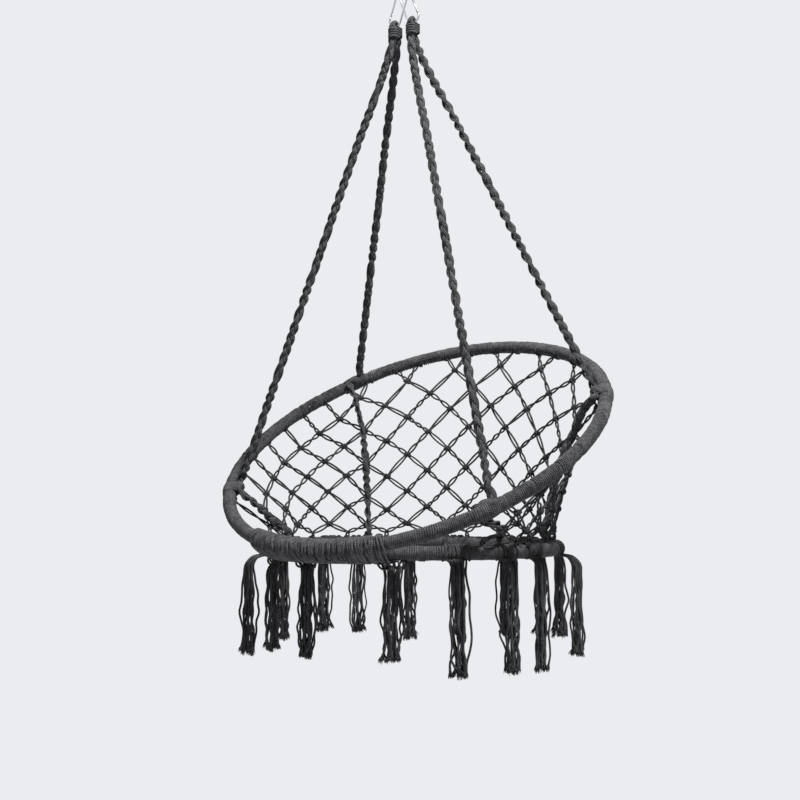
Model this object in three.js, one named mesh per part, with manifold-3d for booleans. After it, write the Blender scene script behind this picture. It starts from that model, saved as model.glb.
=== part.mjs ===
// A knotted hammock chair: two cord-wound hoops, a diamond net between them, a net seat,
// four braided ropes on two snap hooks, and tassels round the seat.
// Millimetres, +Z up. The origin is the point of the outside hook that both snap hooks hang on.
// The sitter faces -Y, and the sitter's left is +X.
import * as THREE from "three";
import { mergeVertices } from "three/addons/utils/BufferGeometryUtils.js";
import Module from "manifold-3d";

const wasm = await Module();
wasm.setup();

// Gaps
const SEAT_GAP = 0.3; // between a piece and what carries it
const CORD_GAP = 0.6; // between the turns of one winding
const CUT_LENGTH = 1; // a cutter stands this far over what it cuts
const MERGE_DISTANCE = 0.0001; // points closer than this are one point

// Hoops
const SEAT_DROP = 1114; // from the origin down to the middle of the seat hoop
const SEAT_BACK_OFFSET = 25; // the seat hoop's middle lies this far behind the origin
const SEAT_HOOP_RADIUS = 285; // to the middle of the bar
const BACK_HOOP_RADIUS = 387;
const BACK_HOOP_TILT = 33.2; // degrees that the back hoop rises by, from front to back
const FRONT_OFFSET = 29; // the back hoop's front lies this far before the seat hoop's front
const FRONT_LIFT = 4.5; // and this far above it
const BAR_DIAMETER = 12;
const WRAP_RADIUS = 13.4; // outside of the cord winding on each hoop
const HOOP_SIDES = 40; // straight facets round a hoop
const WRAP_FACETS = 8;
const WRAP_SLIT = 0.6; // between the two ends of a winding
const BAR_FACETS = 6;
const SEARCH_ANGLE = 40; // degrees either way, to find the place on a hoop that lies in a direction
const SEARCH_STEPS = 40;

// Net
const NET_TURN = 84; // degrees: direction of the net's middle column, seen from above
const FOOT_TURN = 87.5; // and of its middle foot on the seat hoop
const ANCHOR_STEP = 9; // degrees on the back hoop between two half columns
const FOOT_STEP_BACK = 9.2; // degrees on the seat hoop, behind the sitter
const FOOT_STEP_SIDE = 3.8; // and where the net narrows at the sides
const FOOT_STEP_FRONT = 12;
const BACK_COLUMNS = 10; // half columns with the back's foot step
const FULL_TOP_COLUMN = 6; // up to this half column the net reaches its full number of rows
const LAST_COLUMN = 14;
const FULL_ROWS = 10; // rows of half diamonds in the middle of the back
const SIDE_ROW_PITCH_share = 0.0761; // share of the back's height in half a diamond at the sides
const SIDE_ROW_START_share = 0.0094; // share of it that the side rows count from
const BACK_ROW_START_share = 0.0345; // share of it that the rows behind the sitter count from
const BACK_ROW_POWER = 1.25; // the rows of the back widen upward by this power
const NET_SAG = 41; // the net bows inward by this much at mid height of the back
const NET_RISE = 18;
const CORD_WIDTH = 6; // a doubled, twisted cord
const CORD_THICKNESS = 4.4;
const KNOT_RADIUS = 7.5;
const KNOT_DOME = 2.6; // a knot's crown stands this far over its cords
const PANEL_COLUMNS = 3; // half columns in one panel of the net

// Seat net
const SEAT_NET_RINGS = [212, 148]; // radii of the two rings of twenty knots
const SEAT_NET_INNER_RING = 86; // radius of the ring of ten knots
const SEAT_NET_HUB = 22; // radius of the middle knot
const SEAT_NET_SAG = 20;
const SEAT_NET_COLUMNS = 20;

// Ropes
const ROPE_DIAMETER = 15.5;
const ROPE_SIDES = 7;
const BACK_ROPE_ROWS = [6.8, 5, 3.3, 1.7]; // rows of the net that the back ropes' route is set at
const FRONT_ROPE_ROWS = [1];
const EYE_SPREAD = 21; // each eye stands this far from the middle of the chair
const NECK_START = 6; // below the middle of the eye
const NECK_LENGTH = 16; // the two legs run side by side through the whipping
const NECK_BEND = 24; // and then bend toward the hoop over this length
const LEG_GAP = 0.8;
const NET_ROPE_GAP = 1.2; // clearance between a rope and the knots it passes
const ROPE_RISE = 20; // degrees above level at which a rope lies on the inner side of the back hoop
const ROPE_APPROACH_LENGTH = 30; // a rope turns toward the hoop's own way over this length
const ROPE_RUN_LENGTH = 29; // and lies along the hoop for this length
const ROPE_LEAVE_share = 0.3; // share of the way on to the net, where a rope keeps clear of its binding
const ROPE_LEAVE_DROP = 9; // by this much downward
const ROPE_LEAVE_OFFSET = 10; // and by this much inward
const ROPE_FOOT_LENGTH = 17; // straight run down to the seat hoop
const ROPES = {
  left: { side: 1, back: { top: 7, foot: 6 }, front: { top: 14, foot: 14 } },
  right: { side: -1, back: { top: -6.1, foot: -6 }, front: { top: -14, foot: -14 } },
}; // half columns of the net where each rope is bound to the back hoop and ends on the seat hoop
const BINDING_WIDTH = 11; // along the hoop
const BINDING_THICKNESS = 2.6;
const BINDING_FACETS = 14;

// Windings
const WHIPPING_CORD = 4.6;
const WHIPPING_TURNS = 3;
const WHIPPING_STEPS = 10; // straight runs in one turn
const LASH_TURNS = 16;
const LASH_WIDTH = 13; // a flat band of cords side by side
const LASH_GAP = 2.8; // between one turn and the next
const LASH_THICKNESS = 4;
const LASH_STEPS = 11;
const LASH_CLEARANCE = 1.8; // looser than a tight winding by this much
const LASH_MIDDLE = 268; // degrees: middle of the front lashing, seen from above

// Snap hooks
const WIRE_DIAMETER = 4.6;
const HOOK_LENGTH = 80;
const HOOK_WIDTH = 30;
const HOOK_OFFSET = 7.6; // the tops of the two hooks are this far before and behind the middle
const GATE_LENGTH_share = 0.69; // share of the hook's straight side that the gate closes
const GATE_DIAMETER = 4.2;
const GATE_START = 8; // the gate's pivot lies this far above the end of the lower bend
const TONGUE_THICKNESS = 1.8;
const TONGUE_LENGTH = 6;
const FORK_GAP = 1.2; // between the tongue and the end of the gate's slot
const RIVET_DIAMETER = 1.8;
const RIVET_LENGTH = 5.2;
const RUNNING_GAP = 0.15;

// Tassels
const TASSEL_DROP = 210; // from the seat hoop's bar down to the ends of the longest tassel
const TASSEL_OFFSET = 24; // most tassels hang this far outside the bar
const TASSELS = [
  [16.5, 0.92, 1.7], [46.5, 0.84, 1], [61.5, 0.88, 1], [81.5, 0.93, 1],
  [103, 0.96, 1], [123, 1, 1], [144.5, 0.91, 1], [160, 0.88, 1],
  [182.5, 0.92, 1], [231.5, 0.9, 1.58], [244, 0.84, 0.6], [262.5, 0.87, 0.2],
  [296, 0.85, 0.45], [318, 0.98, 1], [337.5, 0.97, 1], [351.5, 0.99, 1],
]; // direction seen from above in degrees, then shares of TASSEL_DROP and TASSEL_OFFSET
const TASSEL_SIDES = 10;
const TASSEL_HEAD_WIDTH = 44; // along the hoop, where its cords are hitched to it
const TASSEL_HEAD_HEIGHT = 20; // from there down to the knot that gathers them
const TASSEL_NECK_WIDTH = 20;
const TASSEL_WIDTH = 30; // of the hanging cords
const TASSEL_DEPTH_share = 0.85; // of the width
const TASSEL_GROOVE_share = 0.82; // share of the radius left in the grooves between the cords

const UP = new THREE.Vector3(0, 0, 1);
const degrees = THREE.MathUtils.degToRad;

// Materials
const cord = new THREE.MeshStandardMaterial({ color: 0x2d2d31, roughness: 0.95, metalness: 0 });
const netCord = new THREE.MeshStandardMaterial({ color: 0x232326, roughness: 0.95, metalness: 0 });
const steel = new THREE.MeshStandardMaterial({ color: 0x4a4a4c, roughness: 0.5, metalness: 1 });
const chrome = new THREE.MeshStandardMaterial({ color: 0xc9ccd0, roughness: 0.15, metalness: 1 });

const chair = new THREE.Group();

function addNode(name, geometry, material) {
  const mesh = new THREE.Mesh(geometry, material);
  mesh.name = name;
  chair.add(mesh);
  return mesh;
}

// Solids from rings of points

function buildGeometry(points, triangles) {
  const geometry = new THREE.BufferGeometry();
  const flat = points.flatMap((p) => [p.x, p.y, p.z]);
  geometry.setAttribute("position", new THREE.Float32BufferAttribute(flat, 3));
  geometry.setIndex(triangles.flat());
  return geometry;
}

// A closed skin over rings with the same number of points, each counter-clockwise about its way.
function loft(rings) {
  const sides = rings[0].length;
  const triangles = [];
  for (let r = 0; r + 1 < rings.length; r++) {
    for (let s = 0; s < sides; s++) {
      const a = r * sides + s;
      const b = r * sides + ((s + 1) % sides);
      triangles.push([a, b, b + sides], [a, b + sides, a + sides]);
    }
  }
  const last = (rings.length - 1) * sides;
  for (let s = 1; s + 1 < sides; s++) {
    triangles.push([0, s + 1, s], [last, last + s, last + s + 1]);
  }
  return buildGeometry(rings.flat(), triangles);
}

function polygon(sides, radius) {
  return Array.from({ length: sides }, (_, s) => {
    const turn = (2 * Math.PI * (s + 0.5)) / sides;
    return [radius * Math.cos(turn), radius * Math.sin(turn)];
  });
}

function ringAt(centre, across, away, section) {
  return section.map(([u, v]) => centre.clone().addScaledVector(across, u).addScaledVector(away, v));
}

function tangentAt(points, i) {
  const before = points[Math.max(i - 1, 0)];
  const after = points[Math.min(i + 1, points.length - 1)];
  return after.clone().sub(before).normalize();
}

// A tube of one section along points; its frame turns no more than the path does.
function tube(points, section, firstAway) {
  let away = firstAway.clone();
  const rings = points.map((point, i) => {
    const tangent = tangentAt(points, i);
    away = away.addScaledVector(tangent, -away.dot(tangent)).normalize();
    return ringAt(point, away.clone().cross(tangent), away, section);
  });
  return loft(rings);
}

// A winding: a band whose flat side faces away from what it is wound on.
function winding(turns, section) {
  const points = turns.map((turn) => turn.point);
  const rings = turns.map((turn, i) => {
    const tangent = tangentAt(points, i);
    const away = turn.away.clone().addScaledVector(tangent, -turn.away.dot(tangent)).normalize();
    return ringAt(turn.point, away.clone().cross(tangent), away, section);
  });
  return loft(rings);
}

function toSolid(geometry) {
  const bare = geometry.index ? geometry.toNonIndexed() : geometry.clone();
  bare.deleteAttribute("normal");
  bare.deleteAttribute("uv");
  const merged = mergeVertices(bare, MERGE_DISTANCE);
  const vertProperties = new Float32Array(merged.attributes.position.array);
  const triVerts = new Uint32Array(merged.index.array);
  return new wasm.Manifold(new wasm.Mesh({ numProp: 3, vertProperties, triVerts }));
}

function fromSolid(solid) {
  const mesh = solid.getMesh();
  const geometry = new THREE.BufferGeometry();
  geometry.setAttribute("position", new THREE.BufferAttribute(new Float32Array(mesh.vertProperties), 3));
  geometry.setIndex(new THREE.BufferAttribute(new Uint32Array(mesh.triVerts), 1));
  return geometry;
}

// Hoops

const seatHoop = {
  radius: SEAT_HOOP_RADIUS,
  tilt: 0,
  centre: new THREE.Vector3(0, SEAT_BACK_OFFSET, -SEAT_DROP),
};
const frontOfBackHoop = SEAT_BACK_OFFSET - SEAT_HOOP_RADIUS - FRONT_OFFSET;
const backHoop = {
  radius: BACK_HOOP_RADIUS,
  tilt: degrees(BACK_HOOP_TILT),
  centre: new THREE.Vector3(
    0,
    frontOfBackHoop + BACK_HOOP_RADIUS * Math.cos(degrees(BACK_HOOP_TILT)),
    FRONT_LIFT - SEAT_DROP + BACK_HOOP_RADIUS * Math.sin(degrees(BACK_HOOP_TILT)),
  ),
};

function cornerOf(hoop, side) {
  const turn = (2 * Math.PI * side) / HOOP_SIDES;
  const reach = hoop.radius * Math.sin(turn);
  return new THREE.Vector3(
    hoop.radius * Math.cos(turn),
    reach * Math.cos(hoop.tilt),
    reach * Math.sin(hoop.tilt),
  ).add(hoop.centre);
}

// The middle of the bar at an angle in the hoop's own plane, on the straight facet there.
function hoopPoint(hoop, angle) {
  const place = (angle * HOOP_SIDES) / 360;
  const side = Math.floor(place);
  return cornerOf(hoop, side).lerp(cornerOf(hoop, side + 1), place - side);
}

function hoopTangent(hoop, angle) {
  const side = Math.floor((angle * HOOP_SIDES) / 360);
  return cornerOf(hoop, side + 1).sub(cornerOf(hoop, side)).normalize();
}

// Level, and away from the middle of the seat.
function outwardAt(point) {
  return point.clone().sub(seatHoop.centre).setZ(0).normalize();
}

// The angle on a hoop whose point lies in a direction seen from the middle of the seat, found by halving.
function angleToward(hoop, direction) {
  let low = direction - SEARCH_ANGLE;
  let high = direction + SEARCH_ANGLE;
  for (let i = 0; i < SEARCH_STEPS; i++) {
    const middle = (low + high) / 2;
    const point = outwardAt(hoopPoint(hoop, middle));
    const turn = degrees(direction);
    const side = Math.cos(turn) * point.y - Math.sin(turn) * point.x;
    if (side < 0) low = middle;
    else high = middle;
  }
  return (low + high) / 2;
}

// Rings of a section at each corner of a hoop, from corner to corner.
function hoopRings(hoop, section, corners) {
  const normal = new THREE.Vector3(0, -Math.sin(hoop.tilt), Math.cos(hoop.tilt));
  return corners.map((corner) => {
    const point = hoopPoint(hoop, (corner * 360) / HOOP_SIDES);
    const outward = point.clone().sub(hoop.centre).normalize();
    return ringAt(point, outward, normal, section).reverse();
  });
}

// The wound cover of a hoop: an open-ended sleeve whose two ends meet at the front with a small gap.
function wrapGeometry(hoop) {
  const first = (270 * HOOP_SIDES) / 360;
  const slit = (WRAP_SLIT * HOOP_SIDES) / (2 * Math.PI * hoop.radius);
  const corners = Array.from({ length: HOOP_SIDES + 1 }, (_, i) => {
    if (i === 0) return first + slit / 2;
    if (i === HOOP_SIDES) return first + HOOP_SIDES - slit / 2;
    return first + i;
  });
  const outer = hoopRings(hoop, polygon(WRAP_FACETS, WRAP_RADIUS), corners);
  const boreRadius = BAR_DIAMETER / 2 + SEAT_GAP / Math.cos(Math.PI / BAR_FACETS);
  const bore = hoopRings(hoop, polygon(BAR_FACETS, boreRadius), corners);
  return fromSolid(toSolid(loft(outer)).subtract(toSolid(loft(lengthened(bore)))));
}

// The same rings with the first and last moved outward, so that a cut passes through the end faces.
function lengthened(rings) {
  const shift = (ring, inner) => {
    const way = ring[0].clone().sub(inner[0]).normalize();
    return ring.map((point) => point.clone().addScaledVector(way, WRAP_SLIT / 4));
  };
  const last = rings.length - 1;
  return [shift(rings[0], rings[1]), ...rings.slice(1, last), shift(rings[last], rings[last - 1])];
}

function barGeometry(hoop) {
  const section = polygon(BAR_FACETS, BAR_DIAMETER / 2);
  const rings = hoopRings(hoop, section, Array.from({ length: HOOP_SIDES }, (_, i) => i));
  const sides = BAR_FACETS;
  const triangles = [];
  for (let r = 0; r < HOOP_SIDES; r++) {
    const next = (r + 1) % HOOP_SIDES;
    for (let s = 0; s < sides; s++) {
      const t = (s + 1) % sides;
      triangles.push([r * sides + s, r * sides + t, next * sides + t]);
      triangles.push([r * sides + s, next * sides + t, next * sides + s]);
    }
  }
  return buildGeometry(rings.flat(), triangles);
}

// Front lashing: the degrees it spans, and how far it reaches from the middle of each hoop's bar

const lashSpan = THREE.MathUtils.radToDeg((LASH_TURNS * (LASH_WIDTH + LASH_GAP)) / SEAT_HOOP_RADIUS);
const lashTurnRadius = (WRAP_RADIUS + SEAT_GAP + LASH_THICKNESS) / Math.cos(Math.PI / LASH_STEPS);
const lashReach = lashTurnRadius + LASH_CLEARANCE;

function isLashed(direction, width) {
  const margin = THREE.MathUtils.radToDeg((LASH_WIDTH + width / 2) / SEAT_HOOP_RADIUS);
  return Math.abs(direction - LASH_MIDDLE) < lashSpan / 2 + margin;
}

// The back hoop crosses a turn of the lashing at a slant, which makes its section that much longer.
function slantOf(direction) {
  const turn = degrees(direction);
  const alongSeat = new THREE.Vector3(-Math.sin(turn), Math.cos(turn), 0);
  return 1 / alongSeat.dot(hoopTangent(backHoop, angleToward(backHoop, direction)));
}

// Net between the hoops

function anchorAngle(column) {
  return NET_TURN - ANCHOR_STEP * column;
}

function footAngle(column) {
  const steps = Math.abs(column);
  const back = Math.min(steps, BACK_COLUMNS) * FOOT_STEP_BACK;
  const side = THREE.MathUtils.clamp(steps - BACK_COLUMNS, 0, LAST_COLUMN - BACK_COLUMNS) * FOOT_STEP_SIDE;
  const front = Math.max(steps - LAST_COLUMN, 0) * FOOT_STEP_FRONT;
  return FOOT_TURN - Math.sign(column) * (back + side + front);
}

function topRow(column) {
  const steps = Math.abs(column);
  if (steps >= FULL_TOP_COLUMN) return FULL_ROWS + FULL_TOP_COLUMN - 1 - steps;
  return steps % 2 === 0 ? FULL_ROWS - 1 : FULL_ROWS - 2;
}

const wrapFlat = WRAP_RADIUS * Math.cos(Math.PI / WRAP_FACETS); // from the bar's middle to a facet

const footLift = wrapFlat + SEAT_GAP + KNOT_RADIUS; // of the lowest knots, over the seat hoop's bar

// How high a row stands between the seat hoop and the back hoop, as a share of the height between them.
function rowShare(column, row, height) {
  if (row < 1) return THREE.MathUtils.lerp(footLift / height, rowShare(column, 1, height), Math.max(row, 0));
  const backShare = BACK_ROW_START_share + (1 - BACK_ROW_START_share) * (row / FULL_ROWS) ** BACK_ROW_POWER;
  const sideShare = (SIDE_ROW_START_share + row * SIDE_ROW_PITCH_share) * (netHeight / height);
  const blend = THREE.MathUtils.clamp(Math.abs(column) - FULL_TOP_COLUMN, 0, 1);
  return THREE.MathUtils.lerp(backShare, sideShare, blend);
}

// A point of the net's surface, by half column and row, both of which may be fractions.
function netPoint(column, row) {
  const top = hoopPoint(backHoop, anchorAngle(column));
  const foot = hoopPoint(seatHoop, footAngle(column));
  const height = top.z - foot.z;
  const share = rowShare(column, row, height);
  const bow = 4 * share * (1 - share) * (height / netHeight) ** 2;
  const shift = outwardAt(foot).multiplyScalar(-NET_SAG * bow).addScaledVector(UP, NET_RISE * bow);
  const base = foot.addScaledVector(UP, footLift);
  return base.lerp(top, (share * height - footLift) / (height - footLift)).add(shift);
}

const netHeight = hoopPoint(backHoop, NET_TURN).z - hoopPoint(seatHoop, FOOT_TURN).z;

// The way out of the net's surface, away from the sitter.
function netNormal(column, row) {
  const across = netPoint(column - 0.5, row).sub(netPoint(column + 0.5, row));
  const upward = netPoint(column, row + 0.5).sub(netPoint(column, Math.max(row - 0.5, 0)));
  return across.cross(upward).normalize();
}

// Builds one net: knots with a flat facet toward each cord, joined by flat cords, as one skin.
class NetBuilder {
  constructor() {
    this.points = [];
    this.triangles = [];
  }

  addPoint(point) {
    this.points.push(point);
    return this.points.length - 1;
  }

  addQuad(a, b, c, d) {
    this.triangles.push([a, b, c], [a, c, d]);
  }

  // The four corners of a cord's end, for a cord that leaves along the given way.
  addEnd(centre, way, normal) {
    const left = normal.clone().cross(way).normalize().multiplyScalar(CORD_WIDTH / 2);
    const lift = normal.clone().multiplyScalar(CORD_THICKNESS / 2);
    const corner = (side, height) =>
      this.addPoint(centre.clone().addScaledVector(left, side).addScaledVector(lift, height));
    return {
      rightLow: corner(-1, -1),
      leftLow: corner(1, -1),
      leftHigh: corner(1, 1),
      rightHigh: corner(-1, 1),
    };
  }

  // A knot with ends toward the given ways, kept in the same order. radius is to each end's face.
  addKnot(centre, normal, ways, radius = KNOT_RADIUS) {
    const flatWays = ways.map((way) =>
      way.clone().addScaledVector(normal, -way.dot(normal)).normalize());
    const east = flatWays[0];
    const north = normal.clone().cross(east);
    const turnOf = (way) => (Math.atan2(way.dot(north), way.dot(east)) + 4 * Math.PI) % (2 * Math.PI);
    const ends = flatWays.map((way) =>
      this.addEnd(centre.clone().addScaledVector(way, radius), way, normal));
    const order = flatWays.map((_, i) => i).sort((a, b) => turnOf(flatWays[a]) - turnOf(flatWays[b]));
    const crown = this.addPoint(centre.clone().addScaledVector(normal, CORD_THICKNESS / 2 + KNOT_DOME));
    const base = this.addPoint(centre.clone().addScaledVector(normal, -CORD_THICKNESS / 2 - KNOT_DOME));
    order.forEach((index, place) => {
      const end = ends[index];
      const next = ends[order[(place + 1) % order.length]];
      this.addQuad(end.leftLow, next.rightLow, next.rightHigh, end.leftHigh);
      this.triangles.push([crown, end.rightHigh, end.leftHigh], [crown, end.leftHigh, next.rightHigh]);
      this.triangles.push([base, end.leftLow, end.rightLow], [base, next.rightLow, end.leftLow]);
    });
    return ends;
  }

  closeEnd(end) {
    this.addQuad(end.rightLow, end.leftLow, end.leftHigh, end.rightHigh);
  }

  joinEnds(from, to) {
    this.addQuad(from.rightHigh, to.leftHigh, to.rightHigh, from.leftHigh);
    this.addQuad(from.leftLow, to.rightLow, to.leftLow, from.rightLow);
    this.addQuad(to.rightLow, from.leftLow, from.leftHigh, to.rightHigh);
    this.addQuad(from.rightLow, to.leftLow, to.leftHigh, from.rightHigh);
  }

  // A cord from a knot's end to a free end, whose face looks on along the cord.
  runTo(from, centre, wayBack, normal) {
    const to = this.addEnd(centre, wayBack, normal);
    this.joinEnds(from, to);
    this.addQuad(to.leftLow, to.rightLow, to.rightHigh, to.leftHigh);
  }

  geometry() {
    return buildGeometry(this.points, this.triangles);
  }
}

// Where a cord that comes from a knot ends on a hoop's winding.
function cordEndOnHoop(hoop, angle, knot, radius = WRAP_RADIUS) {
  const middle = hoopPoint(hoop, angle);
  const way = knot.clone().sub(middle).normalize();
  const along = Math.abs(way.dot(hoopTangent(hoop, angle)));
  const clear = radius + SEAT_GAP + (CORD_WIDTH / 2) * (along + Math.tan(Math.PI / HOOP_SIDES));
  return { centre: middle.addScaledVector(way, clear / Math.sqrt(1 - along * along)), way };
}

function knotKey(column, row) {
  return column + ":" + row;
}

function hasKnot(column, row) {
  if (row === 0) return Math.abs(column) % 2 === 1 && Math.abs(column) <= LAST_COLUMN + 1;
  const isPlace = Math.abs(column) <= LAST_COLUMN && row > 0 && row <= topRow(column);
  return isPlace && (column + row) % 2 !== 0;
}

// What each knot is tied to: other knots, a place on the back hoop, or the seat hoop under it.
function netTies(column, row) {
  const ties = [];
  for (const side of [-1, 1]) {
    for (const rise of [-1, 1]) {
      if (hasKnot(column + side, row + rise)) {
        ties.push({ kind: "knot", column: column + side, row: row + rise });
      } else if (rise === 1 && row === topRow(column) && row > 0) {
        ties.push({ kind: "anchor", angle: anchorAngle(column + side / 2) });
      }
    }
  }
  if (row === 0) ties.push({ kind: "foot" });
  return ties;
}

function tieTarget(tie, column) {
  if (tie.kind === "knot") return netPoint(tie.column, tie.row);
  if (tie.kind === "anchor") return hoopPoint(backHoop, tie.angle);
  return hoopPoint(seatHoop, footAngle(column));
}

function panelOf(column) {
  const last = Math.ceil((LAST_COLUMN * 2) / PANEL_COLUMNS) - 1;
  return THREE.MathUtils.clamp(Math.floor((column + LAST_COLUMN) / PANEL_COLUMNS), 0, last);
}

function netPanels() {
  const places = [];
  for (let column = -LAST_COLUMN - 1; column <= LAST_COLUMN + 1; column++) {
    for (let row = 0; row < FULL_ROWS; row++) {
      if (hasKnot(column, row)) places.push({ column, row });
    }
  }
  const panels = new Map();
  const ends = new Map();
  for (const { column, row } of places) {
    const panel = panelOf(column);
    if (!panels.has(panel)) panels.set(panel, new NetBuilder());
    const centre = netPoint(column, row);
    const normal = netNormal(column, row);
    const ties = netTies(column, row);
    const ways = ties.map((tie) => tieTarget(tie, column).sub(centre));
    const made = panels.get(panel).addKnot(centre, normal, ways);
    ends.set(knotKey(column, row), { centre, normal, ties, ends: made });
  }
  for (const { column, row } of places) {
    tieKnot(panels, ends, column, row);
  }
  return panels;
}

function tieKnot(panels, knots, column, row) {
  const panel = panels.get(panelOf(column));
  const knot = knots.get(knotKey(column, row));
  knot.ties.forEach((tie, i) => {
    const end = knot.ends[i];
    if (tie.kind === "foot") {
      panel.closeEnd(end);
      return;
    }
    if (tie.kind === "anchor") {
      const { centre, way } = cordEndOnHoop(backHoop, tie.angle, knot.centre);
      panel.runTo(end, centre, way, knot.normal);
      return;
    }
    const other = knots.get(knotKey(tie.column, tie.row));
    const back = other.ties.findIndex((o) => o.kind === "knot" && o.column === column && o.row === row);
    if (panelOf(tie.column) === panelOf(column)) {
      if (tie.column > column) panel.joinEnds(end, other.ends[back]);
    } else if (tie.column < column) {
      panel.closeEnd(end);
    } else {
      const way = knot.centre.clone().sub(other.centre);
      way.addScaledVector(other.normal, -way.dot(other.normal)).normalize();
      const face = other.centre.clone().addScaledVector(way, KNOT_RADIUS + SEAT_GAP);
      panel.runTo(end, face, way, other.normal);
    }
  });
}

// Seat net

function seatNetPoint(radius, column) {
  const turn = (2 * Math.PI * column) / SEAT_NET_COLUMNS + degrees(NET_TURN);
  const sag = SEAT_NET_SAG * (1 - (radius / SEAT_HOOP_RADIUS) ** 2);
  return new THREE.Vector3(radius * Math.cos(turn), radius * Math.sin(turn), -sag).add(seatHoop.centre);
}

// How far from the bar a cord of the seat net ends in a direction.
function rimReach(direction) {
  return isLashed(direction, CORD_WIDTH) ? lashReach + SEAT_GAP : WRAP_RADIUS;
}

function seatNetGeometry() {
  const net = new NetBuilder();
  const wrap = (column) => (column + SEAT_NET_COLUMNS) % SEAT_NET_COLUMNS;
  const [outerRadius, middleRadius] = SEAT_NET_RINGS;
  const innerCount = SEAT_NET_COLUMNS / 2;
  const columns = Array.from({ length: SEAT_NET_COLUMNS }, (_, c) => c);
  const halves = Array.from({ length: innerCount }, (_, c) => c);
  const outer = columns.map((c) => seatNetPoint(outerRadius, c));
  const middle = columns.map((c) => seatNetPoint(middleRadius, c + 0.5));
  const inner = halves.map((c) => seatNetPoint(SEAT_NET_INNER_RING, 2 * c + 1));
  const hub = seatNetPoint(0, 0);
  const rims = columns.map((c) => [-0.25, 0.25].map((share) =>
    (((c + share) * 360) / SEAT_NET_COLUMNS + NET_TURN) % 360));
  const toward = (from, to) => to.clone().sub(from);

  const outerEnds = outer.map((point, c) => {
    const [left, right] = rims[c].map((direction) => hoopPoint(seatHoop, direction));
    const ways = [left, right, middle[wrap(c - 1)], middle[c]].map((to) => toward(point, to));
    return net.addKnot(point, UP, ways);
  });
  const middleEnds = middle.map((point, c) => {
    const ways = [outer[c], outer[wrap(c + 1)], inner[Math.floor(c / 2)]].map((to) => toward(point, to));
    return net.addKnot(point, UP, ways);
  });
  const innerEnds = inner.map((point, c) => {
    const ways = [middle[2 * c], middle[2 * c + 1], hub].map((to) => toward(point, to));
    return net.addKnot(point, UP, ways);
  });
  const hubEnds = net.addKnot(hub, UP, inner.map((point) => toward(hub, point)), SEAT_NET_HUB);

  columns.forEach((c) => {
    rims[c].forEach((direction, i) => {
      const { centre, way } = cordEndOnHoop(seatHoop, direction, outer[c], rimReach(direction));
      net.runTo(outerEnds[c][i], centre, way, UP);
    });
    net.joinEnds(outerEnds[c][2], middleEnds[wrap(c - 1)][1]);
    net.joinEnds(outerEnds[c][3], middleEnds[c][0]);
    net.joinEnds(middleEnds[c][2], innerEnds[Math.floor(c / 2)][c % 2]);
  });
  halves.forEach((c) => net.joinEnds(innerEnds[c][2], hubEnds[c]));
  return net.geometry();
}

// Snap hooks

const wireRadius = WIRE_DIAMETER / 2;
const bendRadius = (HOOK_WIDTH - WIRE_DIAMETER) / 2;
const innerBend = bendRadius - wireRadius;
const hookStraight = HOOK_LENGTH - HOOK_WIDTH;
const hookLean = Math.asin(EYE_SPREAD / hookStraight);
const hookReach = hookStraight * Math.cos(hookLean) + bendRadius; // from the upper bend's middle to the eye
const hookCross = Math.asin(HOOK_OFFSET / hookReach); // the hooks cross, so both eyes are on one line

// A hook's own frame: the upper bend's middle at the origin, the hook hanging down -Z, the gate on +X.
function placeHook(geometry, side) {
  const outward = side > 0 ? geometry : mirrored(geometry);
  outward.rotateY(-side * hookLean);
  outward.rotateX(-side * hookCross);
  outward.translate(0, side * HOOK_OFFSET, -innerBend);
  return outward;
}

function mirrored(geometry) {
  const copy = geometry.clone().scale(-1, 1, 1);
  const index = Array.from(copy.index.array);
  for (let i = 0; i < index.length; i += 3) {
    [index[i + 1], index[i + 2]] = [index[i + 2], index[i + 1]];
  }
  copy.setIndex(index);
  return copy;
}

const pivotHeight = -hookStraight + GATE_START; // of the gate's rivet, in the hook's own frame
const noseHeight = pivotHeight + hookStraight * GATE_LENGTH_share;

function hookGeometry() {
  const points = [new THREE.Vector3(bendRadius, 0, noseHeight + SEAT_GAP)];
  const bendSteps = 8;
  for (let i = 0; i <= bendSteps; i++) {
    const turn = (Math.PI * i) / bendSteps;
    points.push(new THREE.Vector3(bendRadius * Math.cos(turn), 0, bendRadius * Math.sin(turn)));
  }
  for (let i = 0; i <= bendSteps; i++) {
    const turn = Math.PI + (Math.PI * i) / bendSteps;
    const height = bendRadius * Math.sin(turn) - hookStraight;
    points.push(new THREE.Vector3(bendRadius * Math.cos(turn), 0, height));
  }
  const tongueEnd = pivotHeight + TONGUE_LENGTH / 2;
  points.push(new THREE.Vector3(bendRadius, 0, tongueEnd));
  const wire = toSolid(tube(points, polygon(8, wireRadius), new THREE.Vector3(0, 1, 0)));
  const cheek = new THREE.BoxGeometry(2 * WIRE_DIAMETER, WIRE_DIAMETER, TONGUE_LENGTH + CUT_LENGTH);
  const cheekShift = TONGUE_THICKNESS / 2 + WIRE_DIAMETER / 2;
  const height = tongueEnd - TONGUE_LENGTH + cheek.parameters.depth / 2;
  const front = toSolid(cheek.clone().translate(bendRadius, -cheekShift, height));
  const behind = toSolid(cheek.clone().translate(bendRadius, cheekShift, height));
  const hole = toSolid(rivetGeometry(RIVET_DIAMETER / 2 + RUNNING_GAP, 2 * RIVET_LENGTH));
  return fromSolid(wire.subtract(front).subtract(behind).subtract(hole));
}

function rivetGeometry(radius, length) {
  return new THREE.CylinderGeometry(radius, radius, length, 10).translate(bendRadius, 0, pivotHeight);
}

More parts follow.
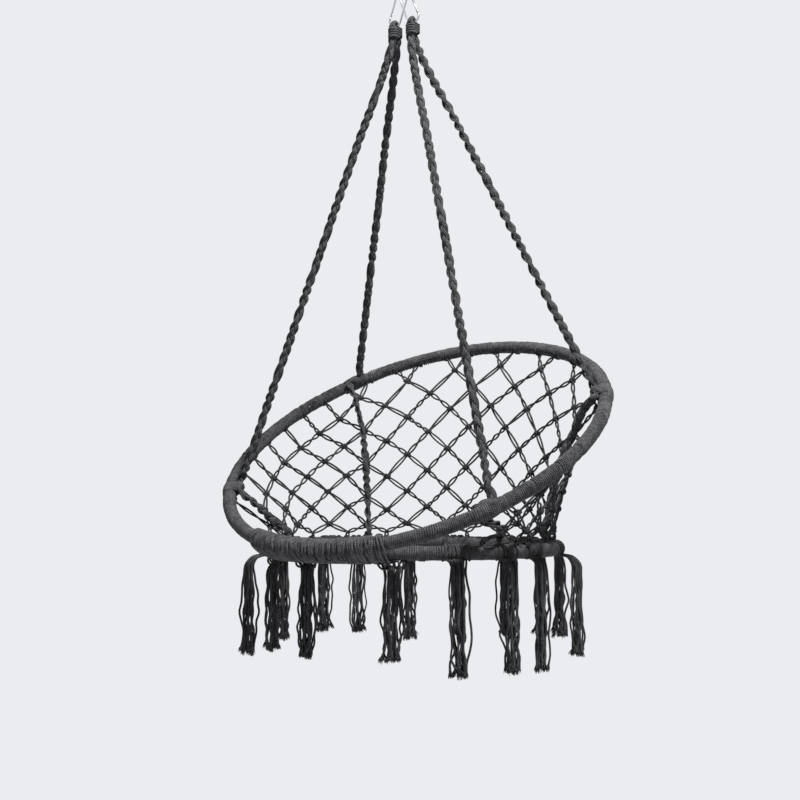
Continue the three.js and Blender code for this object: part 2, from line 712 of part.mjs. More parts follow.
// The gate: a round bar, forked over the tongue at its pivot, that closes against the hook's nose.
function gateGeometry() {
  const radius = GATE_DIAMETER / 2;
  const foot = pivotHeight - radius;
  const bar = new THREE.CylinderGeometry(radius, radius, noseHeight - foot, 8)
    .rotateX(Math.PI / 2)
    .translate(bendRadius, 0, (noseHeight + foot) / 2);
  const slotWidth = TONGUE_THICKNESS + 2 * RUNNING_GAP;
  const slotTop = pivotHeight + TONGUE_LENGTH / 2 + FORK_GAP;
  const slot = new THREE.BoxGeometry(2 * GATE_DIAMETER, slotWidth, slotTop - foot + CUT_LENGTH)
    .translate(bendRadius, 0, (slotTop + foot - CUT_LENGTH) / 2);
  const hole = toSolid(rivetGeometry(RIVET_DIAMETER / 2 + RUNNING_GAP, 2 * RIVET_LENGTH));
  return fromSolid(toSolid(bar).subtract(toSolid(slot)).subtract(hole));
}

// Ropes: the front and back ropes of a side are one rope. It runs from the seat hoop up the net, lies
// along the back hoop, where it is bound on, and goes up to its eye over the snap hook and down again.

const ropeRadius = ROPE_DIAMETER / 2;
const eyeHeight = -innerBend - hookReach * Math.cos(hookCross);
const eyeRadius = wireRadius + 2 * SEAT_GAP + ropeRadius;
const legOffset = (ROPE_DIAMETER + LEG_GAP) / 2;
const neckTop = eyeHeight - NECK_START;
const neckFoot = neckTop - NECK_LENGTH;

function besideEye(side, back, height) {
  return new THREE.Vector3(side * EYE_SPREAD, back, height);
}

// Where a rope lies along the back hoop: its middle there, the hoop's bar, and the ways round it.
function ropeOnHoop(column) {
  const angle = anchorAngle(column);
  const bar = hoopPoint(backHoop, angle);
  const tangent = hoopTangent(backHoop, angle);
  const inward = outwardAt(bar).negate();
  inward.addScaledVector(tangent, -inward.dot(tangent)).normalize();
  const upward = tangent.clone().cross(inward);
  const away = inward.clone().multiplyScalar(Math.cos(degrees(ROPE_RISE)))
    .addScaledVector(upward, Math.sin(degrees(ROPE_RISE)));
  const middle = bar.clone().addScaledVector(away, WRAP_RADIUS + SEAT_GAP + ropeRadius);
  return { bar, tangent, away, middle };
}

// A rope ends on the inner, upper side of the seat hoop's winding, square to it.
function ropeFoot(column) {
  const middle = hoopPoint(seatHoop, footAngle(column));
  const way = outwardAt(middle).negate().add(UP).normalize();
  const clear = wrapFlat + SEAT_GAP + ropeRadius * Math.tan(Math.PI / HOOP_SIDES);
  return [ROPE_FOOT_LENGTH, ROPE_FOOT_LENGTH / 2, 0].map((lift) =>
    middle.clone().addScaledVector(way, clear + lift));
}

// From the back hoop down the inner side of the net, clear of the knots.
function ropeBesideNet(rope, rows) {
  const clear = ropeRadius + CORD_THICKNESS / 2 + KNOT_DOME + NET_ROPE_GAP;
  return rows.map((row) => {
    const column = THREE.MathUtils.lerp(rope.foot, rope.top, row / FULL_ROWS);
    return netPoint(column, row).addScaledVector(netNormal(column, row), -clear);
  });
}

function ropeLeg(side, back, rope, rows) {
  const neck = besideEye(side, back * legOffset, neckFoot);
  const { tangent, away, middle } = ropeOnHoop(rope.top);
  const way = middle.clone().sub(neck).normalize();
  const run = tangent.multiplyScalar(Math.sign(way.dot(tangent)));
  const onRun = (length) => middle.clone().addScaledVector(run, length);
  const bend = neck.clone().addScaledVector(UP, -NECK_BEND / 2);
  const bendEnd = bend.clone().addScaledVector(way, NECK_BEND / 2);
  const neckBend = new THREE.QuadraticBezierCurve3(neck, bend, bendEnd);
  const approach = onRun(-ROPE_RUN_LENGTH / 2).addScaledVector(way, -ROPE_APPROACH_LENGTH);
  const straight = [0.25, 0.5, 0.75].map((share) => bendEnd.clone().lerp(approach, share));
  const held = [-ROPE_RUN_LENGTH, -BINDING_WIDTH, BINDING_WIDTH, ROPE_RUN_LENGTH]
    .map((length) => onRun(length / 2));
  const besideNet = ropeBesideNet(rope, rows);
  const leave = onRun(ROPE_RUN_LENGTH / 2).lerp(besideNet[0], ROPE_LEAVE_share)
    .addScaledVector(UP, -ROPE_LEAVE_DROP).addScaledVector(away, ROPE_LEAVE_OFFSET);
  const stations = [approach, ...held, leave, ...besideNet, ...ropeFoot(rope.foot)];
  const lower = new THREE.CatmullRomCurve3(stations, false, "centripetal");
  return [...neckBend.getPoints(4), ...straight, ...lower.getPoints(4 * (stations.length - 1))];
}

function ropeGeometry({ side, back, front }) {
  const eyeSteps = 10;
  const eye = Array.from({ length: eyeSteps + 1 }, (_, i) => {
    const turn = Math.PI * (1 - i / eyeSteps);
    const reach = eyeRadius / Math.cos(Math.PI / (2 * eyeSteps));
    return besideEye(side, reach * Math.cos(turn), eyeHeight + reach * Math.sin(turn));
  });
  const points = [
    ...ropeLeg(side, -1, front, FRONT_ROPE_ROWS).reverse(),
    besideEye(side, -legOffset, neckTop),
    ...eye,
    besideEye(side, legOffset, neckTop),
    ...ropeLeg(side, 1, back, BACK_ROPE_ROWS),
  ];
  return tube(points, polygon(ROPE_SIDES, ropeRadius), new THREE.Vector3(1, 0, 0));
}

// The cords that bind a rope to the back hoop, as one closed band round both.
function bindingGeometry({ top }) {
  const { bar, tangent, away, middle } = ropeOnHoop(top);
  const across = tangent.clone().cross(away);
  const ease = SEAT_GAP / Math.cos(Math.PI / BINDING_FACETS);
  const circles = (extra) => [
    { u: 0, v: 0, radius: WRAP_RADIUS + ease + extra },
    { u: middle.distanceTo(bar), v: 0, radius: ropeRadius + ease + extra },
  ];
  const outline = (extra) => Array.from({ length: BINDING_FACETS }, (_, i) => {
    const corner = hullPoint(circles(extra), (2 * Math.PI * (i + 0.5)) / BINDING_FACETS);
    const stretch = 1 / Math.cos(Math.PI / BINDING_FACETS);
    return [corner.u * stretch, corner.v * stretch];
  });
  const solid = (extra, width) => {
    const ends = [-width / 2, width / 2].map((shift) =>
      ringAt(bar.clone().addScaledVector(tangent, shift), away, across, outline(extra)));
    return toSolid(loft(ends));
  };
  const outer = solid(BINDING_THICKNESS, BINDING_WIDTH);
  return fromSolid(outer.subtract(solid(0, BINDING_WIDTH + CUT_LENGTH)));
}

// Tassels

// A tassel hangs from the outer, lower side of the seat hoop's winding, or from under the front lashing.
function tasselGeometry(direction, dropShare, outShare) {
  const bar = hoopPoint(seatHoop, angleToward(seatHoop, direction));
  const outward = outwardAt(bar);
  const along = UP.clone().cross(outward);
  const lashed = isLashed(direction, TASSEL_HEAD_WIDTH);
  const headWay = outward.clone().multiplyScalar(lashed ? 0 : 1).sub(UP).normalize();
  const clear = 2 * SEAT_GAP + (lashed ? lashReach : wrapFlat);
  const out = TASSEL_OFFSET * outShare;
  const drop = TASSEL_DROP * dropShare;
  const neck = clear + TASSEL_HEAD_HEIGHT;
  const onHead = (length) => bar.clone().addScaledVector(headWay, clear + length);
  const hanging = (depth) => bar.clone().addScaledVector(outward, out).addScaledVector(UP, -depth);
  const down = UP.clone().negate();
  const levels = [
    { centre: onHead(0), way: headWay, width: TASSEL_HEAD_WIDTH, groove: 1 },
    { centre: onHead(TASSEL_HEAD_HEIGHT / 4), way: headWay, width: TASSEL_HEAD_WIDTH, groove: 1 },
    { centre: hanging(neck), way: down, width: TASSEL_NECK_WIDTH, groove: 1 },
    ...[neck + TASSEL_NECK_WIDTH / 2, (neck + drop) / 2, drop].map((depth) =>
      ({ centre: hanging(depth), way: down, width: TASSEL_WIDTH, groove: TASSEL_GROOVE_share })),
  ];
  const rings = levels.map(({ centre, way, width, groove }) => {
    const halfDepth = (Math.min(width, TASSEL_WIDTH) / 2) * TASSEL_DEPTH_share;
    const section = polygon(TASSEL_SIDES, 1).map(([u, v], s) => {
      const reach = s % 2 === 1 ? groove : 1;
      return [(u * reach * width) / 2, v * reach * halfDepth];
    });
    return ringAt(centre, along, way.clone().cross(along), section);
  });
  return loft(rings);
}

// Windings

// The hull of circles seen along a winding's axis: the farthest point of any circle in each direction.
function hullPoint(circles, turn) {
  const way = [Math.cos(turn), Math.sin(turn)];
  const reach = (circle) => circle.u * way[0] + circle.v * way[1] + circle.radius;
  const best = circles.reduce((a, b) => (reach(b) > reach(a) ? b : a));
  return { u: best.u + best.radius * way[0], v: best.v + best.radius * way[1], way };
}

// Points of a winding round circles that lie in a frame which may turn from place to place along it.
function windingTurns(turnCount, stepsPerTurn, frameAt, circlesAt, tail) {
  const turns = [];
  const steps = turnCount * stepsPerTurn;
  for (let i = 0; i <= steps; i++) {
    const share = i / steps;
    const frame = frameAt(share);
    const hull = hullPoint(circlesAt(share), (2 * Math.PI * i) / stepsPerTurn + Math.PI / stepsPerTurn);
    const place = (u, v) => frame.origin.clone().addScaledVector(frame.u, u).addScaledVector(frame.v, v);
    const away = frame.u.clone().multiplyScalar(hull.way[0]).addScaledVector(frame.v, hull.way[1]);
    turns.push({ point: place(hull.u, hull.v), away });
  }
  const last = turns.length - 1;
  const endWay = (from, to) => turns[to].point.clone().sub(turns[from].point).normalize();
  const straight = (at, way) => ({
    point: turns[at].point.clone().addScaledVector(way, tail),
    away: turns[at].away.clone(),
  });
  return [straight(0, endWay(1, 0)), ...turns, straight(last, endWay(last - 1, last))];
}

// The least distance between parts of a winding that are more than half a turn apart, less its thickness.
function leastGap(turns, stepsPerTurn, width) {
  let least = Infinity;
  for (let i = 0; i < turns.length; i++) {
    for (let j = i + Math.ceil(stepsPerTurn / 2); j < turns.length; j++) {
      least = Math.min(least, turns[i].point.distanceTo(turns[j].point) - width);
    }
  }
  return least;
}

function reportGap(name, turns, stepsPerTurn, width) {
  console.log(name + " least gap to itself: " + leastGap(turns, stepsPerTurn, width).toFixed(2) + " mm");
}

function whippingGeometry(side, name) {
  const cordRadius = WHIPPING_CORD / 2;
  const pitch = WHIPPING_CORD + CORD_GAP;
  const height = WHIPPING_TURNS * pitch;
  const top = (neckTop + neckFoot) / 2 + height / 2;
  const radius = ropeRadius + 2 * SEAT_GAP + cordRadius;
  const frameAt = (share) => ({
    origin: besideEye(side, 0, top - height * share),
    u: new THREE.Vector3(1, 0, 0),
    v: new THREE.Vector3(0, 1, 0),
  });
  const circles = [{ u: 0, v: -legOffset, radius }, { u: 0, v: legOffset, radius }];
  const turns = windingTurns(WHIPPING_TURNS, WHIPPING_STEPS, frameAt, () => circles, WHIPPING_CORD);
  reportGap(name, turns, WHIPPING_STEPS, WHIPPING_CORD);
  return winding(turns, polygon(4, cordRadius));
}

// The lashing that ties the two hoops together at the front.
function lashingGeometry(name) {
  const directionAt = (share) => LASH_MIDDLE + (share - 0.5) * lashSpan;
  const frameAt = (share) => {
    const origin = hoopPoint(seatHoop, directionAt(share));
    return { origin, u: outwardAt(origin).negate(), v: UP };
  };
  const circlesAt = (share) => {
    const frame = frameAt(share);
    const other = hoopPoint(backHoop, angleToward(backHoop, directionAt(share))).sub(frame.origin);
    const radius = lashReach - LASH_THICKNESS / 2;
    const slanted = radius * slantOf(directionAt(share));
    return [{ u: 0, v: 0, radius }, { u: other.dot(frame.u), v: other.dot(frame.v), radius: slanted }];
  };
  const turns = windingTurns(LASH_TURNS, LASH_STEPS, frameAt, circlesAt, LASH_THICKNESS);
  reportGap(name, turns, LASH_STEPS, LASH_WIDTH);
  const halfWidth = LASH_WIDTH / 2;
  const halfThickness = LASH_THICKNESS / 2;
  const section = [
    [-halfWidth, -halfThickness],
    [halfWidth, -halfThickness],
    [halfWidth, halfThickness],
    [-halfWidth, halfThickness],
  ];
  return winding(turns, section);
}

// Assembly

addNode("seat_hoop_bar", barGeometry(seatHoop), steel);
addNode("seat_hoop_wrap", wrapGeometry(seatHoop), cord);
addNode("back_hoop_bar", barGeometry(backHoop), steel);
addNode("back_hoop_wrap", wrapGeometry(backHoop), cord);

for (const [name, rope] of Object.entries(ROPES)) {
  const { side } = rope;
  addNode(name + "_snap_hook", placeHook(hookGeometry(), side), chrome);
  addNode(name + "_gate", placeHook(gateGeometry(), side), chrome);
  const rivet = rivetGeometry(RIVET_DIAMETER / 2, RIVET_LENGTH);
  addNode(name + "_gate_rivet", placeHook(rivet, side), chrome);
  addNode(name + "_front_binding", bindingGeometry(rope.front), cord);
  addNode(name + "_back_binding", bindingGeometry(rope.back), cord);
  addNode(name + "_rope", ropeGeometry(rope), cord);
  addNode(name + "_whipping", whippingGeometry(side, name + "_whipping"), cord);
}

addNode("front_lashing", lashingGeometry("front_lashing"), cord);
addNode("seat_net", seatNetGeometry(), netCord);
for (const [panel, net] of netPanels()) {
  addNode("back_net_" + String(panel + 1).padStart(2, "0"), net.geometry(), netCord);
}
TASSELS.forEach(([direction, dropShare, outShare], i) => {
  const name = "tassel_" + String(i + 1).padStart(2, "0");
  addNode(name, tasselGeometry(direction, dropShare, outShare), cord);
});

export default chair;
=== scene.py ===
"""A knotted hammock chair, dressed over its CAD frame, and the studio that it hangs in.

Metres, +Z up, in the CAD frame: the origin is the point of the outside hook that both snap hooks
hang on, the sitter faces -Y and the sitter's left is +X.
"""
import logging
import math
import random
from dataclasses import dataclass, field
from enum import Enum
from typing import Callable, Iterable, Optional, Sequence

import bpy
import numpy as np
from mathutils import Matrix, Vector


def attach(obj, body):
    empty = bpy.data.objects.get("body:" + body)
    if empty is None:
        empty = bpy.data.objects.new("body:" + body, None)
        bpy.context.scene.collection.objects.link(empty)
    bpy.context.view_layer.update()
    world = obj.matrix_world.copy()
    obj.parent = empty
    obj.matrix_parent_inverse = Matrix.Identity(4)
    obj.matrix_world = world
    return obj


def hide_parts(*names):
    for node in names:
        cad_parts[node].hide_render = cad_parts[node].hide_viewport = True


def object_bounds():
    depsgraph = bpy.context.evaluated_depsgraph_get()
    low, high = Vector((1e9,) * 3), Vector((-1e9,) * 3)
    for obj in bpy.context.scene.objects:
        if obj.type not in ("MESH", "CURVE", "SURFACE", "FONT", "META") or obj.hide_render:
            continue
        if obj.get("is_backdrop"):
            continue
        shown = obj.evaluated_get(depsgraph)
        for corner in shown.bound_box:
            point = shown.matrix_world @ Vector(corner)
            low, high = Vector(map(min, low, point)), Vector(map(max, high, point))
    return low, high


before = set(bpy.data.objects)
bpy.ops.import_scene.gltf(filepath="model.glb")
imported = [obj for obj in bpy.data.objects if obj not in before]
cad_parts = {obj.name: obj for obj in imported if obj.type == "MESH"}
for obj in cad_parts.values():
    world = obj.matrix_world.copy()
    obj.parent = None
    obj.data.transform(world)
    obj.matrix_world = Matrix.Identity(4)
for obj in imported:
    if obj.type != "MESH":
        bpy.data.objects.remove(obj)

log = logging.getLogger("hammock_chair")
Array = np.ndarray
UP = np.array([0.0, 0.0, 1.0])
TAU = 2 * math.pi
CORD_MAP = "cord_map"
ANY_SIDE = np.array([0.31, -0.87, 0.39])  # a side vector that no cord runs along


# Vectors and paths

def unit(vectors: Array) -> Array:
    """Scales vectors to length one.

    Args:
        vectors: One vector, or rows of vectors.

    Returns:
        The same shape, each vector of length one.
    """
    return vectors / np.maximum(np.linalg.norm(vectors, axis=-1, keepdims=True), 1e-12)


def tangents(path: Array, closed: bool = False) -> Array:
    """Finds the way a path goes at each of its points.

    Args:
        path: Rows of points.
        closed: Whether the last point is followed by the first.

    Returns:
        Rows of unit vectors.
    """
    if closed:
        return unit(np.roll(path, -1, axis=0) - np.roll(path, 1, axis=0))
    way = np.empty_like(path)
    way[1:-1] = path[2:] - path[:-2]
    way[0] = path[1] - path[0]
    way[-1] = path[-1] - path[-2]
    return unit(way)


def carried(way: Array, first: Array) -> Array:
    """Carries one side vector along a path without needless turning.

    Args:
        way: Rows of unit tangents.
        first: The side vector wanted at the start.

    Returns:
        Rows of unit vectors, each square to its tangent.
    """
    sides = np.empty_like(way)
    side = np.asarray(first, float)
    for i, tangent in enumerate(way):
        side = side - tangent * float(side @ tangent)
        length = math.sqrt(float(side @ side))
        if length < 1e-6:
            side = np.cross(tangent, UP if abs(tangent[2]) < 0.9 else np.array([1.0, 0.0, 0.0]))
            length = math.sqrt(float(side @ side))
        side = side / length
        sides[i] = side
    return sides


def turned(turn: float | Array, first: Array, second: Array) -> Array:
    """Turns from one way toward a second one that is square to it.

    Args:
        turn: Radians, one number or many.
        first: The way at no turn, or one for each turn.
        second: The way at a quarter turn, or one for each turn.

    Returns:
        One way, or one for each turn.
    """
    turn = np.asarray(turn)[..., None]
    return np.cos(turn) * first + np.sin(turn) * second


def lengths_along(path: Array) -> Array:
    """Returns the length from the start to each point of a path."""
    return np.concatenate([[0.0], np.cumsum(np.linalg.norm(np.diff(path, axis=0), axis=1))])


def smooth_path(points: Sequence[Array], spacing: float) -> Array:
    """Draws an even curve through points.

    Args:
        points: The points to go through.
        spacing: The wanted distance between two points of the result.

    Returns:
        Rows of points from the first given point to the last.
    """
    knots = np.asarray(points, float)
    at = lengths_along(knots)
    slope = np.gradient(knots, at, axis=0)
    count = max(int(round(at[-1] / spacing)), 2)
    place = np.linspace(0, at[-1], count + 1)
    left = np.clip(np.searchsorted(at, place, side="right") - 1, 0, len(at) - 2)
    span = at[left + 1] - at[left]
    s = ((place - at[left]) / span)[:, None]
    span = span[:, None]
    return (
        (2 * s**3 - 3 * s**2 + 1) * knots[left]
        + (s**3 - 2 * s**2 + s) * span * slope[left]
        + (3 * s**2 - 2 * s**3) * knots[left + 1]
        + (s**3 - s**2) * span * slope[left + 1]
    )


def blend(low: float, high: float, share: float) -> float:
    """Goes from low at share 0 to high at share 1."""
    return low + (high - low) * share


def clamp(value: float, low: float, high: float) -> float:
    """Keeps a value between two limits."""
    return max(low, min(high, value))


def wander(rng: random.Random, count: int, step: float) -> Callable[[Array], Array]:
    """Makes a smooth, seeded, endless wave that never looks regular.

    Args:
        rng: The random numbers to take the waves from.
        count: How many waves are summed.
        step: The longest wave, in the units that the result is asked in.

    Returns:
        A function of place that stays between about -1 and 1.
    """
    waves = [(TAU / (step * rng.uniform(0.25, 1.0)), rng.uniform(0, TAU)) for _ in range(count)]

    def height(place: Array) -> Array:
        """Sums the waves at a place."""
        total = sum(np.sin(np.asarray(place) * pace + phase) for pace, phase in waves)
        return total / math.sqrt(count) / 1.2

    return height


class CordMesh:
    """Collects round cords and other skins into one mesh, with a map of around and along."""

    def __init__(self) -> None:
        """Starts an empty mesh."""
        self.points: list[Array] = []
        self.corners: list[Array] = []
        self.sizes: list[Array] = []
        self.maps: list[Array] = []
        self.count = 0

    def add_tube(
        self,
        path: Array,
        radius: float | Array,
        sides: int,
        away: Optional[Array] = None,
        thin: float = 1.0,
        closed: bool = False,
    ) -> None:
        """Adds a closed tube.

        Args:
            path: Rows of points along its middle.
            radius: One radius, or one for each point.
            sides: How many points go round it.
            away: Rows of side vectors, or one for the start. Any side where it is left out.
            thin: The share of the radius left in the side vectors' way.
            closed: Whether the tube's end meets its start.
        """
        path = np.asarray(path, float)
        count = len(path)
        way = tangents(path, closed)
        if away is None:
            away = carried(way, ANY_SIDE)
        elif np.ndim(away) == 1:
            away = carried(way, away)
        else:
            away = unit(away - way * np.sum(away * way, axis=1, keepdims=True))
        across = np.cross(away, way)
        turn = TAU * (np.arange(sides) + 0.5) / sides
        width = np.broadcast_to(radius, (count,))[:, None, None]
        rings = (
            path[:, None, :]
            + width * np.cos(turn)[None, :, None] * across[:, None, :]
            + width * thin * np.sin(turn)[None, :, None] * away[:, None, :]
        )
        self._join_rings(rings, lengths_along(path), closed)

    def _join_rings(self, rings: Array, along: Array, closed: bool) -> None:
        """Adds a skin over rings of points, with flat ends unless it is closed.

        Args:
            rings: Points by ring, number round the ring and coordinate.
            along: The length to each ring.
            closed: Whether the last ring joins the first.
        """
        count, sides = rings.shape[:2]
        first = self.count
        last = count if closed else count - 1
        r = np.repeat(np.arange(last), sides)
        s = np.tile(np.arange(sides), last)
        here, after = r * sides, (r + 1) % count * sides
        beside = (s + 1) % sides
        quads = np.stack([here + s, here + beside, after + beside, after + s], axis=1)
        far = np.append(along, along[-1] + (along[-1] - along[-2]))
        spots = np.stack(
            [
                np.stack([s / sides, along[r]], axis=1),
                np.stack([(s + 1) / sides, along[r]], axis=1),
                np.stack([(s + 1) / sides, far[r + 1]], axis=1),
                np.stack([s / sides, far[r + 1]], axis=1),
            ],
            axis=1,
        )
        self.points.append(rings.reshape(-1, 3))
        self.corners.append((quads + first).ravel())
        self.sizes.append(np.full(len(quads), 4))
        self.maps.append(spots.reshape(-1, 2))
        if not closed:
            ring = np.arange(sides)
            for face, place in ((ring[::-1], along[0]), (ring + (count - 1) * sides, along[-1])):
                self.corners.append(face + first)
                self.sizes.append(np.array([sides]))
                self.maps.append(np.stack([np.linspace(0, 1, sides), np.full(sides, place)], axis=1))
        self.count += count * sides

    def build(self, name: str, material: bpy.types.Material) -> bpy.types.Object:
        """Makes the Blender object.

        Args:
            name: The object's name.
            material: Its only material.

        Returns:
            The object, in the scene.
        """
        mesh = bpy.data.meshes.new(name)
        points = np.concatenate(self.points).astype(np.float32)
        corners = np.concatenate(self.corners).astype(np.int32)
        sizes = np.concatenate(self.sizes).astype(np.int32)
        mesh.vertices.add(len(points))
        mesh.vertices.foreach_set("co", points.ravel())
        mesh.loops.add(len(corners))
        mesh.loops.foreach_set("vertex_index", corners)
        mesh.polygons.add(len(sizes))
        mesh.polygons.foreach_set("loop_start", np.cumsum(sizes) - sizes)
        mesh.polygons.foreach_set("use_smooth", np.ones(len(sizes), dtype=bool))
        layer = mesh.uv_layers.new(name=CORD_MAP)
        layer.uv.foreach_set("vector", np.concatenate(self.maps).astype(np.float32).ravel())
        mesh.update(calc_edges=True)
        mesh.validate()
        mesh.materials.append(material)
        made = bpy.data.objects.new(name, mesh)
        bpy.context.scene.collection.objects.link(made)
        return made


# Shader maths

class Socket:
    """One number in a node tree, with the usual arithmetic."""

    def __init__(self, graph: "Graph", output: bpy.types.NodeSocket) -> None:
        """Holds a node's output and the tree that it belongs to."""
        self.graph = graph
        self.output = output

    def __add__(self, other: "Socket | float") -> "Socket":
        """Adds a number."""
        return self.graph.math("ADD", self, other)

    __radd__ = __add__

    def __sub__(self, other: "Socket | float") -> "Socket":
        """Takes a number away."""
        return self.graph.math("SUBTRACT", self, other)

    def __rsub__(self, other: "Socket | float") -> "Socket":
        """Takes this number from another."""
        return self.graph.math("SUBTRACT", other, self)

    def __mul__(self, other: "Socket | float") -> "Socket":
        """Multiplies by a number."""
        return self.graph.math("MULTIPLY", self, other)

    __rmul__ = __mul__

    def __truediv__(self, other: "Socket | float") -> "Socket":
        """Divides by a number."""
        return self.graph.math("DIVIDE", self, other)

    def sine(self) -> "Socket":
        """Returns the sine of the number."""
        return self.graph.math("SINE", self)

    def power(self, other: float) -> "Socket":
        """Returns the number to a power."""
        return self.graph.math("POWER", self, other)

    def limited(self) -> "Socket":
        """Returns the number kept between 0 and 1."""
        return self.graph.math("MINIMUM", self.graph.math("MAXIMUM", self, 0.0), 1.0)


class Graph:
    """The node tree of one material or world."""

    def __init__(self, owner: bpy.types.Material | bpy.types.World) -> None:
        """Turns a node tree on and empties it.

        Args:
            owner: The material or world that has it.
        """
        owner.use_nodes = True
        self.tree = owner.node_tree
        self.tree.nodes.clear()

    def node(self, kind: str, links: Optional[dict] = None, **settings: object) -> bpy.types.Node:
        """Adds a node.

        Args:
            kind: The node's type.
            links: What goes into its inputs, by name or number: sockets or plain values.
            **settings: Attributes of the node.

        Returns:
            The node.
        """
        made = self.tree.nodes.new(kind)
        for name, value in settings.items():
            setattr(made, name, value)
        for place, value in (links or {}).items():
            self.feed(made.inputs[place], value)
        return made

    def feed(self, target: bpy.types.NodeSocket, value: object) -> None:
        """Links a socket to an input, or sets a plain value on it.

        Args:
            target: The input.
            value: A socket, a node's output or a plain value.
        """
        if isinstance(value, Socket):
            self.tree.links.new(value.output, target)
        elif isinstance(value, bpy.types.NodeSocket):
            self.tree.links.new(value, target)
        else:
            target.default_value = value

    def math(self, operation: str, *values: Socket | float) -> Socket:
        """Adds one step of arithmetic and returns its result."""
        made = self.node("ShaderNodeMath", dict(enumerate(values)), operation=operation)
        return Socket(self, made.outputs[0])

    def cord_place(self) -> tuple[Socket, Socket]:
        """Reads the cord's map.

        Returns:
            The share round the cord and the metres along it.
        """
        spot = self.node("ShaderNodeUVMap", uv_map=CORD_MAP)
        parts = self.node("ShaderNodeSeparateXYZ", {0: spot.outputs["UV"]})
        return Socket(self, parts.outputs[0]), Socket(self, parts.outputs[1])

    def noise(self, scale: float, detail: float) -> Socket:
        """Adds noise that is fixed to the object.

        Args:
            scale: Its waves in a metre, roughly.
            detail: Its finer octaves.

        Returns:
            A number between 0 and 1.
        """
        place = self.node("ShaderNodeTexCoord")
        links = {"Vector": place.outputs["Object"], "Scale": scale, "Detail": detail}
        return Socket(self, self.node("ShaderNodeTexNoise", links).outputs["Fac"])

    def mixed(self, share: Socket, low: Sequence[float], high: Sequence[float]) -> bpy.types.NodeSocket:
        """Mixes two colours.

        Args:
            share: The share of the second one.
            low: Linear colour at share 0.
            high: Linear colour at share 1.

        Returns:
            The output with the mixed colour.
        """
        made = self.node("ShaderNodeMix", {0: share}, data_type="RGBA")
        made.inputs[6].default_value = (*low, 1.0)
        made.inputs[7].default_value = (*high, 1.0)
        return made.outputs[2]


class Slot(Enum):
    """Labels for the kinds of material."""

    BAR = "bar"
    WINDING = "winding"
    ROPE = "rope"
    NET = "net"
    TASSEL = "tassel"
    HOOK = "hook"


class Finish:
    """A finish that makes its own Blender material once."""

    name: str

    def material(self) -> bpy.types.Material:
        """Returns the material, made at the first call."""
        return bpy.data.materials.get(self.name) or self._make()

    def _make(self) -> bpy.types.Material:
        """Makes the material."""
        raise NotImplementedError


@dataclass(frozen=True)
class CordFinish(Finish):
    """Matt dyed cotton cord, laid from a few plies.

    Attributes:
        name: The material's name.
        dark_tone_and_groove_shade: Linear colour at the bottom of the grooves between the plies, which is
            painted shade, and of the cord's own darker fibres and patches.
        light: Linear colour on the plies.
        plies: Plies seen round the cord.
        lay: Turns of a ply in a metre.
        relief: Depth of the grooves in metres.
    """

    name: str
    dark_tone_and_groove_shade: tuple[float, float, float]
    light: tuple[float, float, float]
    plies: int
    lay: float
    relief: float

    # Scale and detail of the noise for single fibres, rubbed places and broad patches, and how much
    # each one lightens the cord.
    FIBRE = (900.0, 4.0)
    WORN = (130.0, 1.0)
    PATCH = (30.0, 2.0)
    # The first share below is painted shade, which darkens the grooves between the plies; the next three
    # vary the cord's own tone.
    PLY_SHADE, FIBRE_SHADE, WORN_SHADE, PATCH_SHADE, LEAST_SHADE = 0.6, 0.7, 1.1, 0.7, 0.19
    ROUNDNESS = 0.6  # power that rounds the plies
    PLY_HEIGHT, FIBRE_HEIGHT = 0.7, 0.45

    def _make(self) -> bpy.types.Material:
        """Makes the cord: plies and fibres in relief, shade painted into the grooves, paler where it is
        rubbed.

        Returns:
            The material.
        """
        material = bpy.data.materials.new(self.name)
        graph = Graph(material)
        around, along = graph.cord_place()
        ply = ((around * float(self.plies) + along * self.lay) * TAU).sine() * 0.5 + 0.5
        fibre = graph.noise(*self.FIBRE)
        patch = graph.noise(*self.PATCH)
        worn = graph.noise(*self.WORN)
        height = ply.power(self.ROUNDNESS) * self.PLY_HEIGHT + fibre * self.FIBRE_HEIGHT
        # Painted shade: the colour darkens in the grooves between the plies, while fibres, patches and
        # rubbed places vary the cord's own tone.
        shade = ply * self.PLY_SHADE + self.LEAST_SHADE
        shade += (fibre - 0.5) * self.FIBRE_SHADE + (patch - 0.5) * self.PATCH_SHADE
        shade = (shade + (worn - 0.5) * self.WORN_SHADE).limited()
        bump = graph.node("ShaderNodeBump", {"Strength": 0.9, "Distance": self.relief, "Height": height})
        shader = graph.node("ShaderNodeBsdfPrincipled", {
            "Base Color": graph.mixed(shade, self.dark_tone_and_groove_shade, self.light),
            "Normal": bump.outputs["Normal"],
            "Roughness": 0.92,
            "Specular IOR Level": 0.25,
            "Sheen Weight": 0.06,
            "Sheen Roughness": 0.6,
        })
        graph.node("ShaderNodeOutputMaterial", {"Surface": shader.outputs[0]})
        return material


@dataclass(frozen=True)
class MetalFinish(Finish):
    """Plated or painted metal with faint wear.

    Attributes:
        name: The material's name.
        colour: Linear colour.
        smooth: Roughness where it is least worn.
        worn: Roughness where it is most worn.
    """

    name: str
    colour: tuple[float, float, float]
    smooth: float
    worn: float

    WEAR = (240.0, 3.0)  # scale and detail of its noise
    DULL = 0.82  # share of the colour left where it is worn

    def _make(self) -> bpy.types.Material:
        """Makes the metal, duller where it is worn.

        Returns:
            The material.
        """
        material = bpy.data.materials.new(self.name)
        graph = Graph(material)
        wear = graph.noise(*self.WEAR)
        dull = tuple(self.DULL * c for c in self.colour)
        shader = graph.node("ShaderNodeBsdfPrincipled", {
            "Base Color": graph.mixed(wear, dull, self.colour),
            "Roughness": wear * (self.worn - self.smooth) + self.smooth,
            "Metallic": 1.0,
        })
        graph.node("ShaderNodeOutputMaterial", {"Surface": shader.outputs[0]})
        return material
